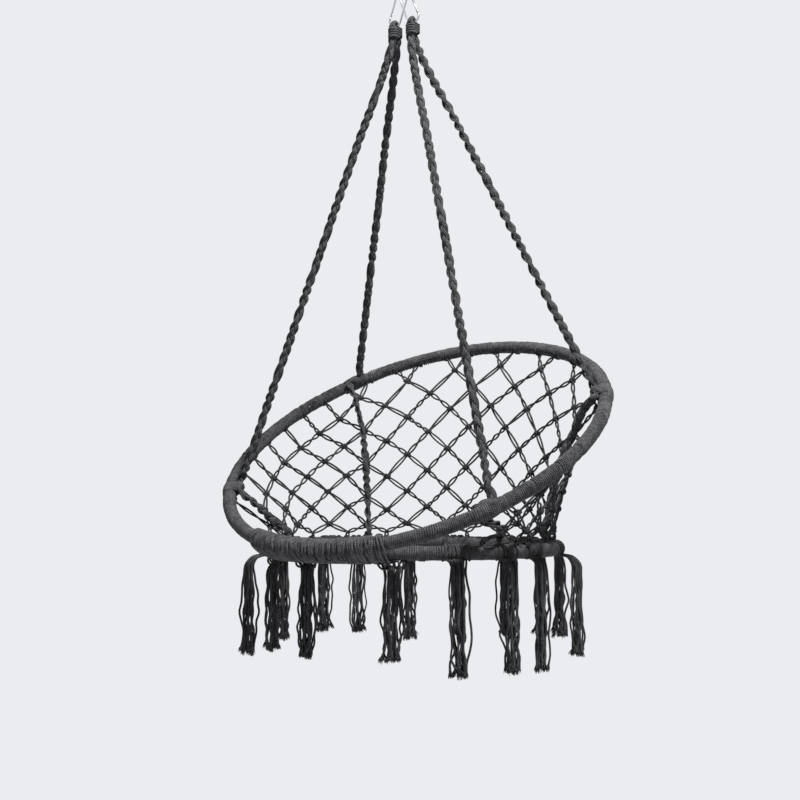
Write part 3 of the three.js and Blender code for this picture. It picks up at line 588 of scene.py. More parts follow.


# The winding and the net are one charcoal cord: the winding's colours are painted lighter, as if lit, and
# the net's darker, as if in shade.
LIT_WINDING_CORD = CordFinish("lit_winding_cord", (0.016, 0.016, 0.017), (0.165, 0.165, 0.173), 2, 330.0, 0.0005)
ROPE_CORD = CordFinish("rope_cord", (0.007, 0.007, 0.008), (0.150, 0.150, 0.157), 3, 190.0, 0.0007)
SHADED_NET_CORD = CordFinish("shaded_net_cord", (0.006, 0.006, 0.007), (0.085, 0.085, 0.090), 3, 210.0, 0.0006)
TASSEL_CORD = CordFinish("tassel_cord", (0.005, 0.005, 0.006), (0.105, 0.105, 0.110), 3, 200.0, 0.0007)
HOOP_STEEL = MetalFinish("hoop_steel", (0.10, 0.10, 0.11), 0.35, 0.55)
CHROME = MetalFinish("hook_chrome", (0.60, 0.60, 0.61), 0.10, 0.22)


# The shape that all cords follow

@dataclass(frozen=True)
class Hoop:
    """One round hoop.

    Attributes:
        radius: From its middle to the middle of its bar.
        tilt: Radians that it rises from front to back.
        middle: Its middle.
    """

    radius: float
    tilt: float
    middle: tuple[float, float, float]

    @property
    def normal(self) -> Array:
        """The way square to the hoop's plane, upward."""
        return np.array([0.0, -math.sin(self.tilt), math.cos(self.tilt)])

    def outward(self, angle: float | Array) -> Array:
        """Finds the way from the hoop's middle to its bar.

        Args:
            angle: Degrees in the hoop's plane, one number or many.

        Returns:
            A unit vector, or one for each angle.
        """
        turn = np.radians(angle)
        reach = np.sin(turn)
        return np.stack([np.cos(turn), reach * math.cos(self.tilt), reach * math.sin(self.tilt)], axis=-1)

    def point(self, angle: float | Array) -> Array:
        """Returns the middle of the bar at degrees in the hoop's plane."""
        return self.radius * self.outward(angle) + np.array(self.middle)

    def tangent(self, angle: float) -> Array:
        """Returns the way the bar goes there, with the degrees rising."""
        return np.cross(self.normal, self.outward(angle))


HALF_FACET = math.radians(4.5)
FACET_EASE = (1 + math.cos(HALF_FACET)) / 2  # puts a round hoop in the middle of the CAD's facets
SEAT_RADIUS = 0.285
BACK_RADIUS = 0.387
BACK_TILT = math.radians(33.2)
FRONT_STEP = 0.029  # how far the back hoop's front stands before the seat hoop's
FRONT_RISE = 0.0045  # and above it
WRAP_RADIUS = 0.0134  # from the middle of a bar to the outside of its winding
SUNK = 0.002  # how deep a net cord's end lies in a winding
SEAT_MIDDLE = np.array([0.0, 0.025, -1.114])
SEAT_HOOP = Hoop(SEAT_RADIUS * FACET_EASE, 0.0, tuple(SEAT_MIDDLE))
BACK_HOOP = Hoop(
    BACK_RADIUS * FACET_EASE,
    BACK_TILT,
    (
        0.0,
        SEAT_MIDDLE[1] - SEAT_RADIUS - FRONT_STEP + BACK_RADIUS * math.cos(BACK_TILT),
        FRONT_RISE + SEAT_MIDDLE[2] + BACK_RADIUS * math.sin(BACK_TILT),
    ),
)


def outward_at(point: Array) -> Array:
    """Returns the level way from the middle of the seat to a point."""
    return unit((point - SEAT_MIDDLE) * np.array([1.0, 1.0, 0.0]))


def angle_toward(hoop: Hoop, direction: float) -> float:
    """Finds the angle on a hoop whose point lies in a direction seen from the middle of the seat.

    Args:
        hoop: The hoop.
        direction: Degrees, seen from above.

    Returns:
        Degrees in the hoop's own plane.
    """
    low, high = direction - 40, direction + 40
    turn = math.radians(direction)
    for _ in range(30):  # halves the span each time
        middle = (low + high) / 2
        way = outward_at(hoop.point(middle))
        if math.cos(turn) * way[1] - math.sin(turn) * way[0] < 0:
            low = middle
        else:
            high = middle
    return (low + high) / 2


@dataclass(frozen=True)
class NetShape:
    """The surface of the net between the hoops, by half column and row.

    Attributes:
        turn: Degrees where the middle column meets the back hoop.
        foot_turn: Degrees where it stands on the seat hoop.
        anchor_step: Degrees on the back hoop for half a column.
        last_column: The last half column with a full height of knots.
        full_column: Up to here the net has all its rows.
        full_rows: Rows of half diamonds behind the sitter.
        sag: How far it bows inward at mid height.
        rise: How far it bows upward there.
        knot_radius: From a knot's middle to its side.
        foot_lift: How far the lowest knots stand over the seat hoop's bar.
        foot_steps: Degrees on the seat hoop for half a column, behind the sitter, beside them and
            at the net's front ends.
        foot_borders: The half columns where one step gives way to the next.
        panel_columns: Half columns in one CAD panel.
        panels: CAD panels in all.
    """

    turn: float = 84.0
    foot_turn: float = 87.5
    anchor_step: float = 9.0
    last_column: int = 14
    full_column: int = 6
    full_rows: int = 10
    sag: float = 0.041
    rise: float = 0.018
    knot_radius: float = 0.0075
    foot_lift: float = 0.0202
    foot_steps: tuple[float, float, float] = (9.2, 3.8, 12.0)
    foot_borders: tuple[int, int] = (10, 14)
    panel_columns: int = 3
    panels: int = 10

    # Share of the height where the lowest knots stand, and how the rows open out above them. At the
    # sides the rows have an even height instead.
    LOWEST = 0.0345
    OPENING = 1.25
    SIDE_LOWEST = 0.0094
    SIDE_ROW = 0.0761

    def anchor_angle(self, column: float) -> float:
        """Returns the degrees on the back hoop of a half column."""
        return self.turn - self.anchor_step * column

    def foot_angle(self, column: float) -> float:
        """Finds where a half column stands on the seat hoop.

        Args:
            column: The half column, counted from the middle behind the sitter.

        Returns:
            Degrees on the seat hoop.
        """
        steps = abs(column)
        behind, beside, front = self.foot_steps
        near, far = self.foot_borders
        degrees = min(steps, near) * behind + clamp(steps - near, 0, far - near) * beside
        degrees += max(steps - far, 0) * front
        return self.foot_turn - math.copysign(degrees, column) if column else self.foot_turn

    def top_row(self, column: int) -> int:
        """Finds the highest row with a knot.

        Args:
            column: The half column.

        Returns:
            The row.
        """
        steps = abs(column)
        if steps >= self.full_column:
            return self.full_rows + self.full_column - 1 - steps
        return self.full_rows - 1 if steps % 2 == 0 else self.full_rows - 2

    def has_knot(self, column: int, row: int) -> bool:
        """Tells whether a knot is tied at a place of the net.

        Args:
            column: The half column.
            row: The row, 0 along the seat hoop.

        Returns:
            Whether there is one.
        """
        if row == 0:
            return abs(column) % 2 == 1 and abs(column) <= self.last_column + 1
        if abs(column) > self.last_column or not 0 < row <= self.top_row(column):
            return False
        return (column + row) % 2 != 0

    def _share(self, column: float, row: float, height: float, full: float) -> float:
        """Finds how high a row stands.

        Args:
            column: The half column.
            row: The row.
            height: The net's height there.
            full: Its height behind the sitter.

        Returns:
            The share of the net's height there.
        """
        if row < 1:
            return blend(self.foot_lift / height, self._share(column, 1, height, full), max(row, 0))
        back = self.LOWEST + (1 - self.LOWEST) * (row / self.full_rows) ** self.OPENING
        side = (self.SIDE_LOWEST + row * self.SIDE_ROW) * full / height
        return blend(back, side, clamp(abs(column) - self.full_column, 0, 1))

    def point(self, column: float, row: float) -> Array:
        """Finds a point of the net's surface.

        Args:
            column: The half column.
            row: The row.

        Returns:
            The point.
        """
        top = BACK_HOOP.point(self.anchor_angle(column))
        foot = SEAT_HOOP.point(self.foot_angle(column))
        height = top[2] - foot[2]
        full = BACK_HOOP.point(self.turn)[2] - SEAT_HOOP.point(self.foot_turn)[2]
        share = self._share(column, row, height, full)
        bow = 4 * share * (1 - share) * (height / full) ** 2
        base = foot + UP * self.foot_lift
        share = (share * height - self.foot_lift) / (height - self.foot_lift)
        return base + (top - base) * share - outward_at(foot) * self.sag * bow + UP * self.rise * bow

    def normal(self, column: float, row: float) -> Array:
        """Finds the way out of the net's surface, away from the sitter.

        Args:
            column: The half column.
            row: The row.

        Returns:
            A unit vector.
        """
        across = self.point(column - 0.5, row) - self.point(column + 0.5, row)
        upward = self.point(column, row + 0.5) - self.point(column, max(row - 0.5, 0))
        return unit(np.cross(across, upward))

    def knots(self) -> list[tuple[int, int]]:
        """Returns the column and row of every knot."""
        columns = range(-self.last_column - 1, self.last_column + 2)
        return [(c, r) for c in columns for r in range(self.full_rows) if self.has_knot(c, r)]

    def panel_of(self, column: int) -> int:
        """Returns the number of the CAD panel that a half column belongs to."""
        return int(clamp((column + self.last_column) // self.panel_columns, 0, self.panels - 1)) + 1


NET = NetShape()


# The parts of the chair

class ChairPart:
    """A sub-assembly that makes its pieces and puts them on a body.

    Attributes:
        body: The body that its pieces ride on.
        slot: A label for its kind of material.
        finish: Its finish.
    """

    body = "chair"
    slot = Slot.NET
    finish: Finish = SHADED_NET_CORD

    def build(self) -> Iterable[bpy.types.Object]:
        """Makes the pieces and yields each one."""
        raise NotImplementedError

    def place(self, mesh: CordMesh, name: str, node: str, body: Optional[str] = None) -> bpy.types.Object:
        """Makes a piece in place of a CAD node and puts it on its body.

        Args:
            mesh: The piece's mesh, already where it belongs.
            name: The piece's name.
            node: The CAD node that it stands for.
            body: The body, where it isn't the part's own.

        Returns:
            The piece.
        """
        piece = mesh.build(name, self.finish.material())
        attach(piece, body or self.body)
        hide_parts(node)
        return piece


TIGHT = 1.02  # a wound cord is this much thicker than its pitch, so that no gap shows


@dataclass
class HoopWinding(ChairPart):
    """Cord wound close round a hoop.

    Attributes:
        hoop: The hoop that it covers.
        name: The CAD node that it stands for.
        pitch: From one turn to the next.
        steps: Points in one turn.
        seed: Seed of its small faults.
        creases: Degrees where the winding parts over a net cord.
    """

    hoop: Hoop
    name: str
    pitch: float = 0.0038
    steps: int = 14
    seed: int = 5
    creases: tuple[float, ...] = ()
    slot = Slot.WINDING
    finish = LIT_WINDING_CORD

    START = 270.0  # degrees of the first turn, in front
    SLACK = 0.0003  # how far turns lie in or out, in long waves
    ROUGH = 0.0002  # and from one to the next
    LEAN = (0.5, 0.9)  # of a turn, in pitches, and how much that changes
    CREASE_DEPTH = (0.0003, 0.0016)
    CREASE_WIDTH = 0.0024
    SHOULDER_HEIGHT = (0.0002, 0.0007)  # of the turns pushed up beside a crease
    SHOULDER_PLACE = 0.009
    SHOULDER_WIDTH = 0.005

    def build(self) -> Iterable[bpy.types.Object]:
        """Winds one long cord round the hoop.

        Yields:
            The winding.
        """
        rng = random.Random(self.seed)
        turns = int(round(TAU * self.hoop.radius / self.pitch))
        i = np.arange(turns * self.steps + 1)
        share = i / (turns * self.steps)
        angle = self.START + 360.0 * share
        round_bar = TAU * i / self.steps
        place = share * TAU * self.hoop.radius
        slack = wander(rng, 5, 0.09)(place)
        lean = wander(rng, 4, 0.22)(place)
        cord = self.pitch / 2 * TIGHT
        reach = WRAP_RADIUS - cord + self.SLACK * slack + self.ROUGH * wander(rng, 4, 0.006)(place)
        for spot in self.creases:
            gap = np.radians((angle - spot + 180) % 360 - 180) * self.hoop.radius
            shoulder = (np.abs(gap) - self.SHOULDER_PLACE) / self.SHOULDER_WIDTH
            reach = reach - rng.uniform(*self.CREASE_DEPTH) * np.exp(-(gap / self.CREASE_WIDTH) ** 2)
            reach = reach + rng.uniform(*self.SHOULDER_HEIGHT) * np.exp(-shoulder**2)
        # Each turn leans a little, more where the winder's hand was careless.
        tip = (self.LEAN[0] + self.LEAN[1] * lean) * self.pitch / self.hoop.radius
        angle = angle + np.degrees(tip * np.sin(round_bar + 0.6))
        side = turned(round_bar, self.hoop.outward(angle), self.hoop.normal)
        mesh = CordMesh()
        mesh.add_tube(self.hoop.point(angle) + reach[:, None] * side, cord, 5, away=side)
        yield self.place(mesh, self.name + "_cord", self.name)


@dataclass
class HoopBars(ChairPart):
    """The steel bars inside the windings, which keep their CAD shape."""

    nodes: tuple[str, ...] = ("seat_hoop_bar", "back_hoop_bar")
    slot = Slot.BAR
    finish = HOOP_STEEL

    def build(self) -> Iterable[bpy.types.Object]:
        """Gives both bars their finish.

        Yields:
            Each bar, as the CAD has it.
        """
        for name in self.nodes:
            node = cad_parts[name]
            for place in node.material_slots:
                place.material = self.finish.material()
            yield node


@dataclass
class DoubleCord:
    """Two thin cords that run side by side and cross each other between two knots.

    Attributes:
        cord: Radius of one cord.
        spread: Half the distance between them where they stand open.
        spacing: Rough length from one point of a cord to the next.
    """

    cord: float = 0.0020
    spread: float = 0.0037
    spacing: float = 0.0034

    CROSSINGS = (0, 1, 2)
    ODDS = (0.4, 0.54, 0.06)  # of each number of crossings
    SHORT = 0.03  # a shorter pair has no crossing
    APART = 0.07  # share of half a wave at both knots, where the cords already stand apart
    OPENNESS = (0.72, 1.05)
    UNEVEN = (0.85, 1.2)  # power that moves the crossings along the pair
    BOW = 0.001

    def add(self, mesh: CordMesh, start: Array, end: Array, normal: Array, rng: random.Random) -> None:
        """Adds one such pair.

        Args:
            mesh: Where it goes.
            start: Its first point.
            end: Its last point.
            normal: The way that it shows its openings to.
            rng: Random numbers for its slack and crossings.
        """
        span = end - start
        length = float(np.linalg.norm(span))
        way = span / length
        across = unit(np.cross(normal, way))
        over = np.cross(way, across)
        crossings = rng.choices(self.CROSSINGS, self.ODDS)[0] if length > self.SHORT else 0
        openness = rng.uniform(*self.OPENNESS)
        s = np.linspace(0, 1, max(8, int(length / self.spacing)) + 1)
        waves = crossings + 1 - 2 * self.APART
        wave = math.pi * (waves * s ** rng.uniform(*self.UNEVEN) + self.APART)
        bow = rng.uniform(-self.BOW, self.BOW) * np.sin(math.pi * s)
        middle = start + s[:, None] * span + bow[:, None] * across
        hand = rng.choice((-1, 1))
        for side in (-1, 1):
            off = side * self.spread * openness * np.sin(wave)
            lift = side * hand * self.cord * np.cos(wave)
            mesh.add_tube(middle + off[:, None] * across + lift[:, None] * over, self.cord, 6, away=over)


def add_ring(mesh: CordMesh, centre: Array, u: Array, v: Array, cord: float,
             lift: Optional[Array] = None, steps: int = 18) -> None:
    """Adds a closed oval of cord.

    Args:
        mesh: Where it goes.
        centre: Its middle.
        u: From the middle to one end.
        v: From the middle to one side.
        cord: Radius of the cord.
        lift: How far it rises and falls twice in a round, as a vector.
        steps: Points round it.
    """
    t = TAU * np.arange(steps) / steps
    path = centre + turned(t, u, v)
    if lift is not None:
        path = path + np.cos(2 * t)[:, None] * lift
    mesh.add_tube(path, cord, 6, away=unit(path - centre), closed=True)


# Of a knot's two loops: their length as a share of the knot's radius, their width as a share of their
# length, and in radii of the cord how far they lie off the middle and how far they bow.
LOOP_LENGTH, LOOP_WIDTH, LOOP_OFF, LOOP_BOW = 1.16, 0.42, 0.55, 0.6
TURN_WIDTH = 2.1  # of the pair of turns over them, in radii of the cord


def add_knot(mesh: CordMesh, centre: Array, normal: Array, radius: float, cord: float,
             rng: random.Random) -> None:
    """Adds a tied knot: two loops through each other under a pair of turns.

    Args:
        mesh: Where it goes.
        centre: Middle of the knot.
        normal: The way that its flat side looks.
        radius: From the middle to its farthest point.
        cord: Radius of its cord.
        rng: Random numbers for its turn and size.
    """
    flat = unit(np.cross(UP + 0.01 * normal[[1, 2, 0]], normal))  # works on a level net too
    flat = turned(rng.uniform(-0.22, 0.22), flat, np.cross(normal, flat))
    up = np.cross(normal, flat)
    reach = (radius * LOOP_LENGTH - cord) * rng.uniform(0.95, 1.05)
    for side in (-1, 1):
        lean = side * rng.uniform(0.3, 0.5)
        long, short = turned(lean, flat, up), turned(lean, up, -flat)
        add_ring(mesh, centre + normal * side * cord * LOOP_OFF, long * reach, short * reach * LOOP_WIDTH,
                 cord, normal * side * cord * LOOP_BOW)
    wide = cord * TURN_WIDTH
    for side in (-0.5, 0.5):  # the pair of turns lies side by side over both loops
        tall = up * reach * rng.uniform(0.56, 0.68) + flat * 0.0006
        add_ring(mesh, centre + flat * side * wide, tall, normal * wide, cord, None, 14)


@dataclass
class BackNet(ChairPart):
    """The knotted diamond net between the hoops, in the CAD's panels.

    Attributes:
        shape: The surface that it follows.
        pair: How two knots are joined.
        knot_cord: Radius of the cord in a knot.
        seed: Seed of its small faults.
    """

    shape: NetShape = NET
    pair: DoubleCord = field(default_factory=DoubleCord)
    knot_cord: float = 0.0021
    seed: int = 21

    def build(self) -> Iterable[bpy.types.Object]:
        """Ties every knot with the cords that leave it upward.

        Yields:
            One piece for each CAD panel.
        """
        rng = random.Random(self.seed)
        meshes: dict[int, CordMesh] = {}
        for column, row in self.shape.knots():
            mesh = meshes.setdefault(self.shape.panel_of(column), CordMesh())
            centre = self.shape.point(column, row)
            normal = self.shape.normal(column, row)
            if row > 0:
                add_knot(mesh, centre, normal, self.shape.knot_radius * rng.uniform(0.98, 1.08),
                         self.knot_cord, rng)
            self._tie(mesh, column, row, centre, normal, rng)
        for panel, mesh in sorted(meshes.items()):
            name = f"back_net_{panel:02d}"
            yield self.place(mesh, name + "_cords", name)

    def _tie(self, mesh: CordMesh, column: int, row: int, centre: Array, normal: Array,
             rng: random.Random) -> None:
        """Adds the pairs of cords that leave a knot upward, and those that end on a hoop.

        Args:
            mesh: Where they go.
            column: The knot's half column.
            row: The knot's row.
            centre: The middle of the knot.
            normal: The way out of the net there.
            rng: Random numbers for the pairs.
        """
        shape = self.shape
        for side in (-1, 1):
            if shape.has_knot(column + side, row + 1):
                other = shape.point(column + side, row + 1)
                facing = unit(normal + shape.normal(column + side, row + 1))
                self.pair.add(mesh, centre, other, facing, rng)
            elif row == shape.top_row(column) and row > 0:
                self._hitch(mesh, BACK_HOOP, shape.anchor_angle(column + side / 2), centre, normal, rng)
        if row == 0:
            self._hitch(mesh, SEAT_HOOP, shape.foot_angle(column), centre, normal, rng)

    def _hitch(self, mesh: CordMesh, hoop: Hoop, angle: float, centre: Array, normal: Array,
               rng: random.Random) -> None:
        """Ties a pair of cords to a hoop, where it comes out from under the winding.

        Args:
            mesh: Where they go.
            hoop: The hoop.
            angle: Degrees in the hoop's plane.
            centre: The middle of the knot that the pair comes from.
            normal: The way out of the net there.
            rng: Random numbers for the pair and its loops.
        """
        middle = hoop.point(angle)
        way = unit(centre - middle)
        self.pair.add(mesh, middle + way * (WRAP_RADIUS - SUNK), centre, normal, rng)
        add_loops(mesh, hoop, angle, way, self.pair.cord, rng)


def add_loops(mesh: CordMesh, hoop: Hoop, angle: float, toward: Array, cord: float, rng: random.Random,
              width: float = 0.0036, reach: float = WRAP_RADIUS) -> None:
    """Adds the two short loops that hold a pair of cords on the side of a hoop.

    Args:
        mesh: Where they go.
        hoop: The hoop.
        angle: Degrees in the hoop's plane.
        toward: The way that the cords leave it.
        cord: Radius of the cord.
        rng: Random numbers for their lean.
        width: Distance between the two loops.
        reach: From the middle of the bar to the surface that they lie on.
    """
    t = np.linspace(-1, 1, 11)
    for side in (-0.5, 0.5):
        place = side * width * (1 + 0.8 * t * rng.uniform(-1, 1)) + 0.001 * rng.uniform(-1, 1)
        bar = hoop.point(angle + np.degrees(place / hoop.radius))
        tangent = hoop.tangent(angle)
        out = unit(toward - tangent * float(toward @ tangent))
        beside = np.cross(tangent, out)
        way = turned(t * rng.uniform(0.8, 1.15), out, beside)
        height = reach + cord * (0.35 - 1.5 * t**4)  # the ends dip between the winding's turns
        mesh.add_tube(bar + way * height[:, None], cord, 6, away=way)


@dataclass
class SeatNet(ChairPart):
    """The net that the sitter sits on, tied to the seat hoop.

    Attributes:
        outer: Radius of the outer ring of knots.
        middle: Radius of the middle ring.
        inner: Radius of the inner ring.
        hub: Radius of the knot in the middle.
        sag: How far it hangs in the middle.
        columns: Knots in the outer and the middle ring.
        knot: From a knot's middle to its farthest point.
        knot_cord: Radius of the cord in a knot.
        pair: How two knots are joined.
        seed: Seed of its small faults.
    """

    outer: float = 0.212
    middle: float = 0.148
    inner: float = 0.086
    hub: float = 0.022
    sag: float = 0.020
    columns: int = 20
    knot: float = 0.0076
    knot_cord: float = 0.0021
    pair: DoubleCord = field(default_factory=lambda: DoubleCord(0.0019, 0.0032))
    seed: int = 33

    def point(self, radius: float, column: float) -> Array:
        """Finds a point of the net.

        Args:
            radius: Its distance from the middle of the seat.
            column: Its place round the seat, in knots of the outer ring.

        Returns:
            The point.
        """
        turn = TAU * column / self.columns + math.radians(NET.turn)
        drop = self.sag * (1 - (radius / SEAT_RADIUS) ** 2)
        return SEAT_MIDDLE + np.array([radius * math.cos(turn), radius * math.sin(turn), -drop])

    def build(self) -> Iterable[bpy.types.Object]:
        """Ties the three rings of knots, their cords and the middle.

        Yields:
            The whole net.
        """
        rng = random.Random(self.seed)
        mesh = CordMesh()
        count = self.columns
        outer = [self.point(self.outer, c) for c in range(count)]
        middle = [self.point(self.middle, c + 0.5) for c in range(count)]
        inner = [self.point(self.inner, 2 * c + 1) for c in range(count // 2)]
        hub = self.point(0, 0)
        for c in range(count):
            for spot in (outer[c], middle[c]):
                add_knot(mesh, spot, UP, self.knot, self.knot_cord, rng)
            for share in (-0.25, 0.25):
                direction = ((c + share) * 360 / count + NET.turn) % 360
                reach = FrontLashing.reach if FrontLashing.covers(direction, 0.006) else WRAP_RADIUS
                spot = SEAT_HOOP.point(direction)
                way = unit(outer[c] - spot)
                self.pair.add(mesh, spot + way * (reach - SUNK), outer[c], UP, rng)
                add_loops(mesh, SEAT_HOOP, direction, way, self.pair.cord, rng, reach=reach)
            self.pair.add(mesh, outer[c], middle[c], UP, rng)
            self.pair.add(mesh, outer[c], middle[(c - 1) % count], UP, rng)
            self.pair.add(mesh, middle[c], inner[c // 2], UP, rng)
        for spot in inner:
            add_knot(mesh, spot, UP, self.knot, self.knot_cord, rng)
            edge = hub + unit(spot - hub) * (self.hub - 0.003)
            self.pair.add(mesh, spot, edge, UP, rng)
        self._hub_spiral(mesh, hub)
        yield self.place(mesh, "seat_net_cords", "seat_net")

    def _hub_spiral(self, mesh: CordMesh, hub: Array, turns: int = 5, cord: float = 0.0023) -> None:
        """Adds the flat spiral of cord that ties the middle together.

        Args:
            mesh: Where it goes.
            hub: The middle of the seat.
            turns: How often it goes round.
            cord: Radius of its cord.
        """
        start, edge = 0.003, 0.0025
        turn = np.linspace(0, turns * TAU, 24 * turns)
        reach = start + (self.hub - start - edge) * turn / turn[-1]
        spiral = np.stack([reach * np.cos(turn), reach * np.sin(turn), 0.0006 * np.sin(3 * turn)], axis=1)
        mesh.add_tube(hub + spiral, cord, 6, away=np.broadcast_to(UP, spiral.shape))


@dataclass(frozen=True)
class RopeHold:
    """A place where a rope lies along the inner side of the back hoop.

    Attributes:
        column: Half column of the net there.
        radius: Half the width of the rope.
        rise: Radians above level at which it lies on the hoop.
    """

    column: float
    radius: float = 0.00775
    rise: float = math.radians(20)

    GAP = 0.0003  # between the rope and the winding

    @property
    def bar(self) -> Array:
        """Middle of the hoop's bar there."""
        return BACK_HOOP.point(NET.anchor_angle(self.column))

    @property
    def tangent(self) -> Array:
        """The way of the hoop there."""
        return BACK_HOOP.tangent(NET.anchor_angle(self.column))

    @property
    def away(self) -> Array:
        """The way from the bar to the rope.

        Returns:
            A unit vector, square to the hoop.
        """
        inward = -outward_at(self.bar)
        inward = unit(inward - self.tangent * float(inward @ self.tangent))
        upward = np.cross(self.tangent, inward)
        return turned(self.rise, inward, upward)

    @property
    def middle(self) -> Array:
        """Middle of the rope there."""
        return self.bar + self.away * (WRAP_RADIUS + self.GAP + self.radius)


@dataclass
class RopeBinding(ChairPart):
    """The cord that is wound over the back hoop and a rope, as one more stretch of the winding.

    Attributes:
        name: The CAD node that it stands for.
        hold: Where the rope lies.
        length: Along the hoop.
        pitch: From one turn to the next.
        steps: Points in one turn.
    """

    name: str
    hold: RopeHold
    length: float = 0.036
    pitch: float = 0.0036
    steps: int = 22
    slot = Slot.WINDING
    finish = LIT_WINDING_CORD

    def build(self) -> Iterable[bpy.types.Object]:
        """Winds a cord over the hoop and the rope.

        Yields:
            The binding.
        """
        rng = random.Random(len(self.name) + int(10 * self.hold.column))
        bar, tangent, away = self.hold.bar, self.hold.tangent, self.hold.away
        across = np.cross(tangent, away)
        cord = self.pitch / 2 * TIGHT
        turns = int(self.length / self.pitch)
        i = np.arange(turns * self.steps + 1)
        share = i / i[-1]
        full = np.maximum(np.sin(math.pi * share), 0.0) ** 0.55  # thick in the middle, thin at both ends
        turn = TAU * i / self.steps
        u = float(np.linalg.norm(self.hold.middle - bar)) * full
        on_hoop = WRAP_RADIUS - cord + 1.3 * cord * full
        on_rope = self.hold.radius + cord * 0.8 * full - 0.001
        over_rope = u * np.cos(turn) + on_rope > on_hoop
        reach = np.where(over_rope, on_rope, on_hoop) + 0.0003 * wander(rng, 4, 20.0)(i / self.steps)
        shift = np.where(over_rope, u, 0.0)
        along = (share - 0.5) * self.length + 0.0014 * np.sin(turn + 0.7)
        path = bar + shift[:, None] * away + reach[:, None] * turned(turn, away, across)
        mesh = CordMesh()
        mesh.add_tube(path + along[:, None] * tangent, cord, 5)
        yield self.place(mesh, self.name + "_cord", self.name)


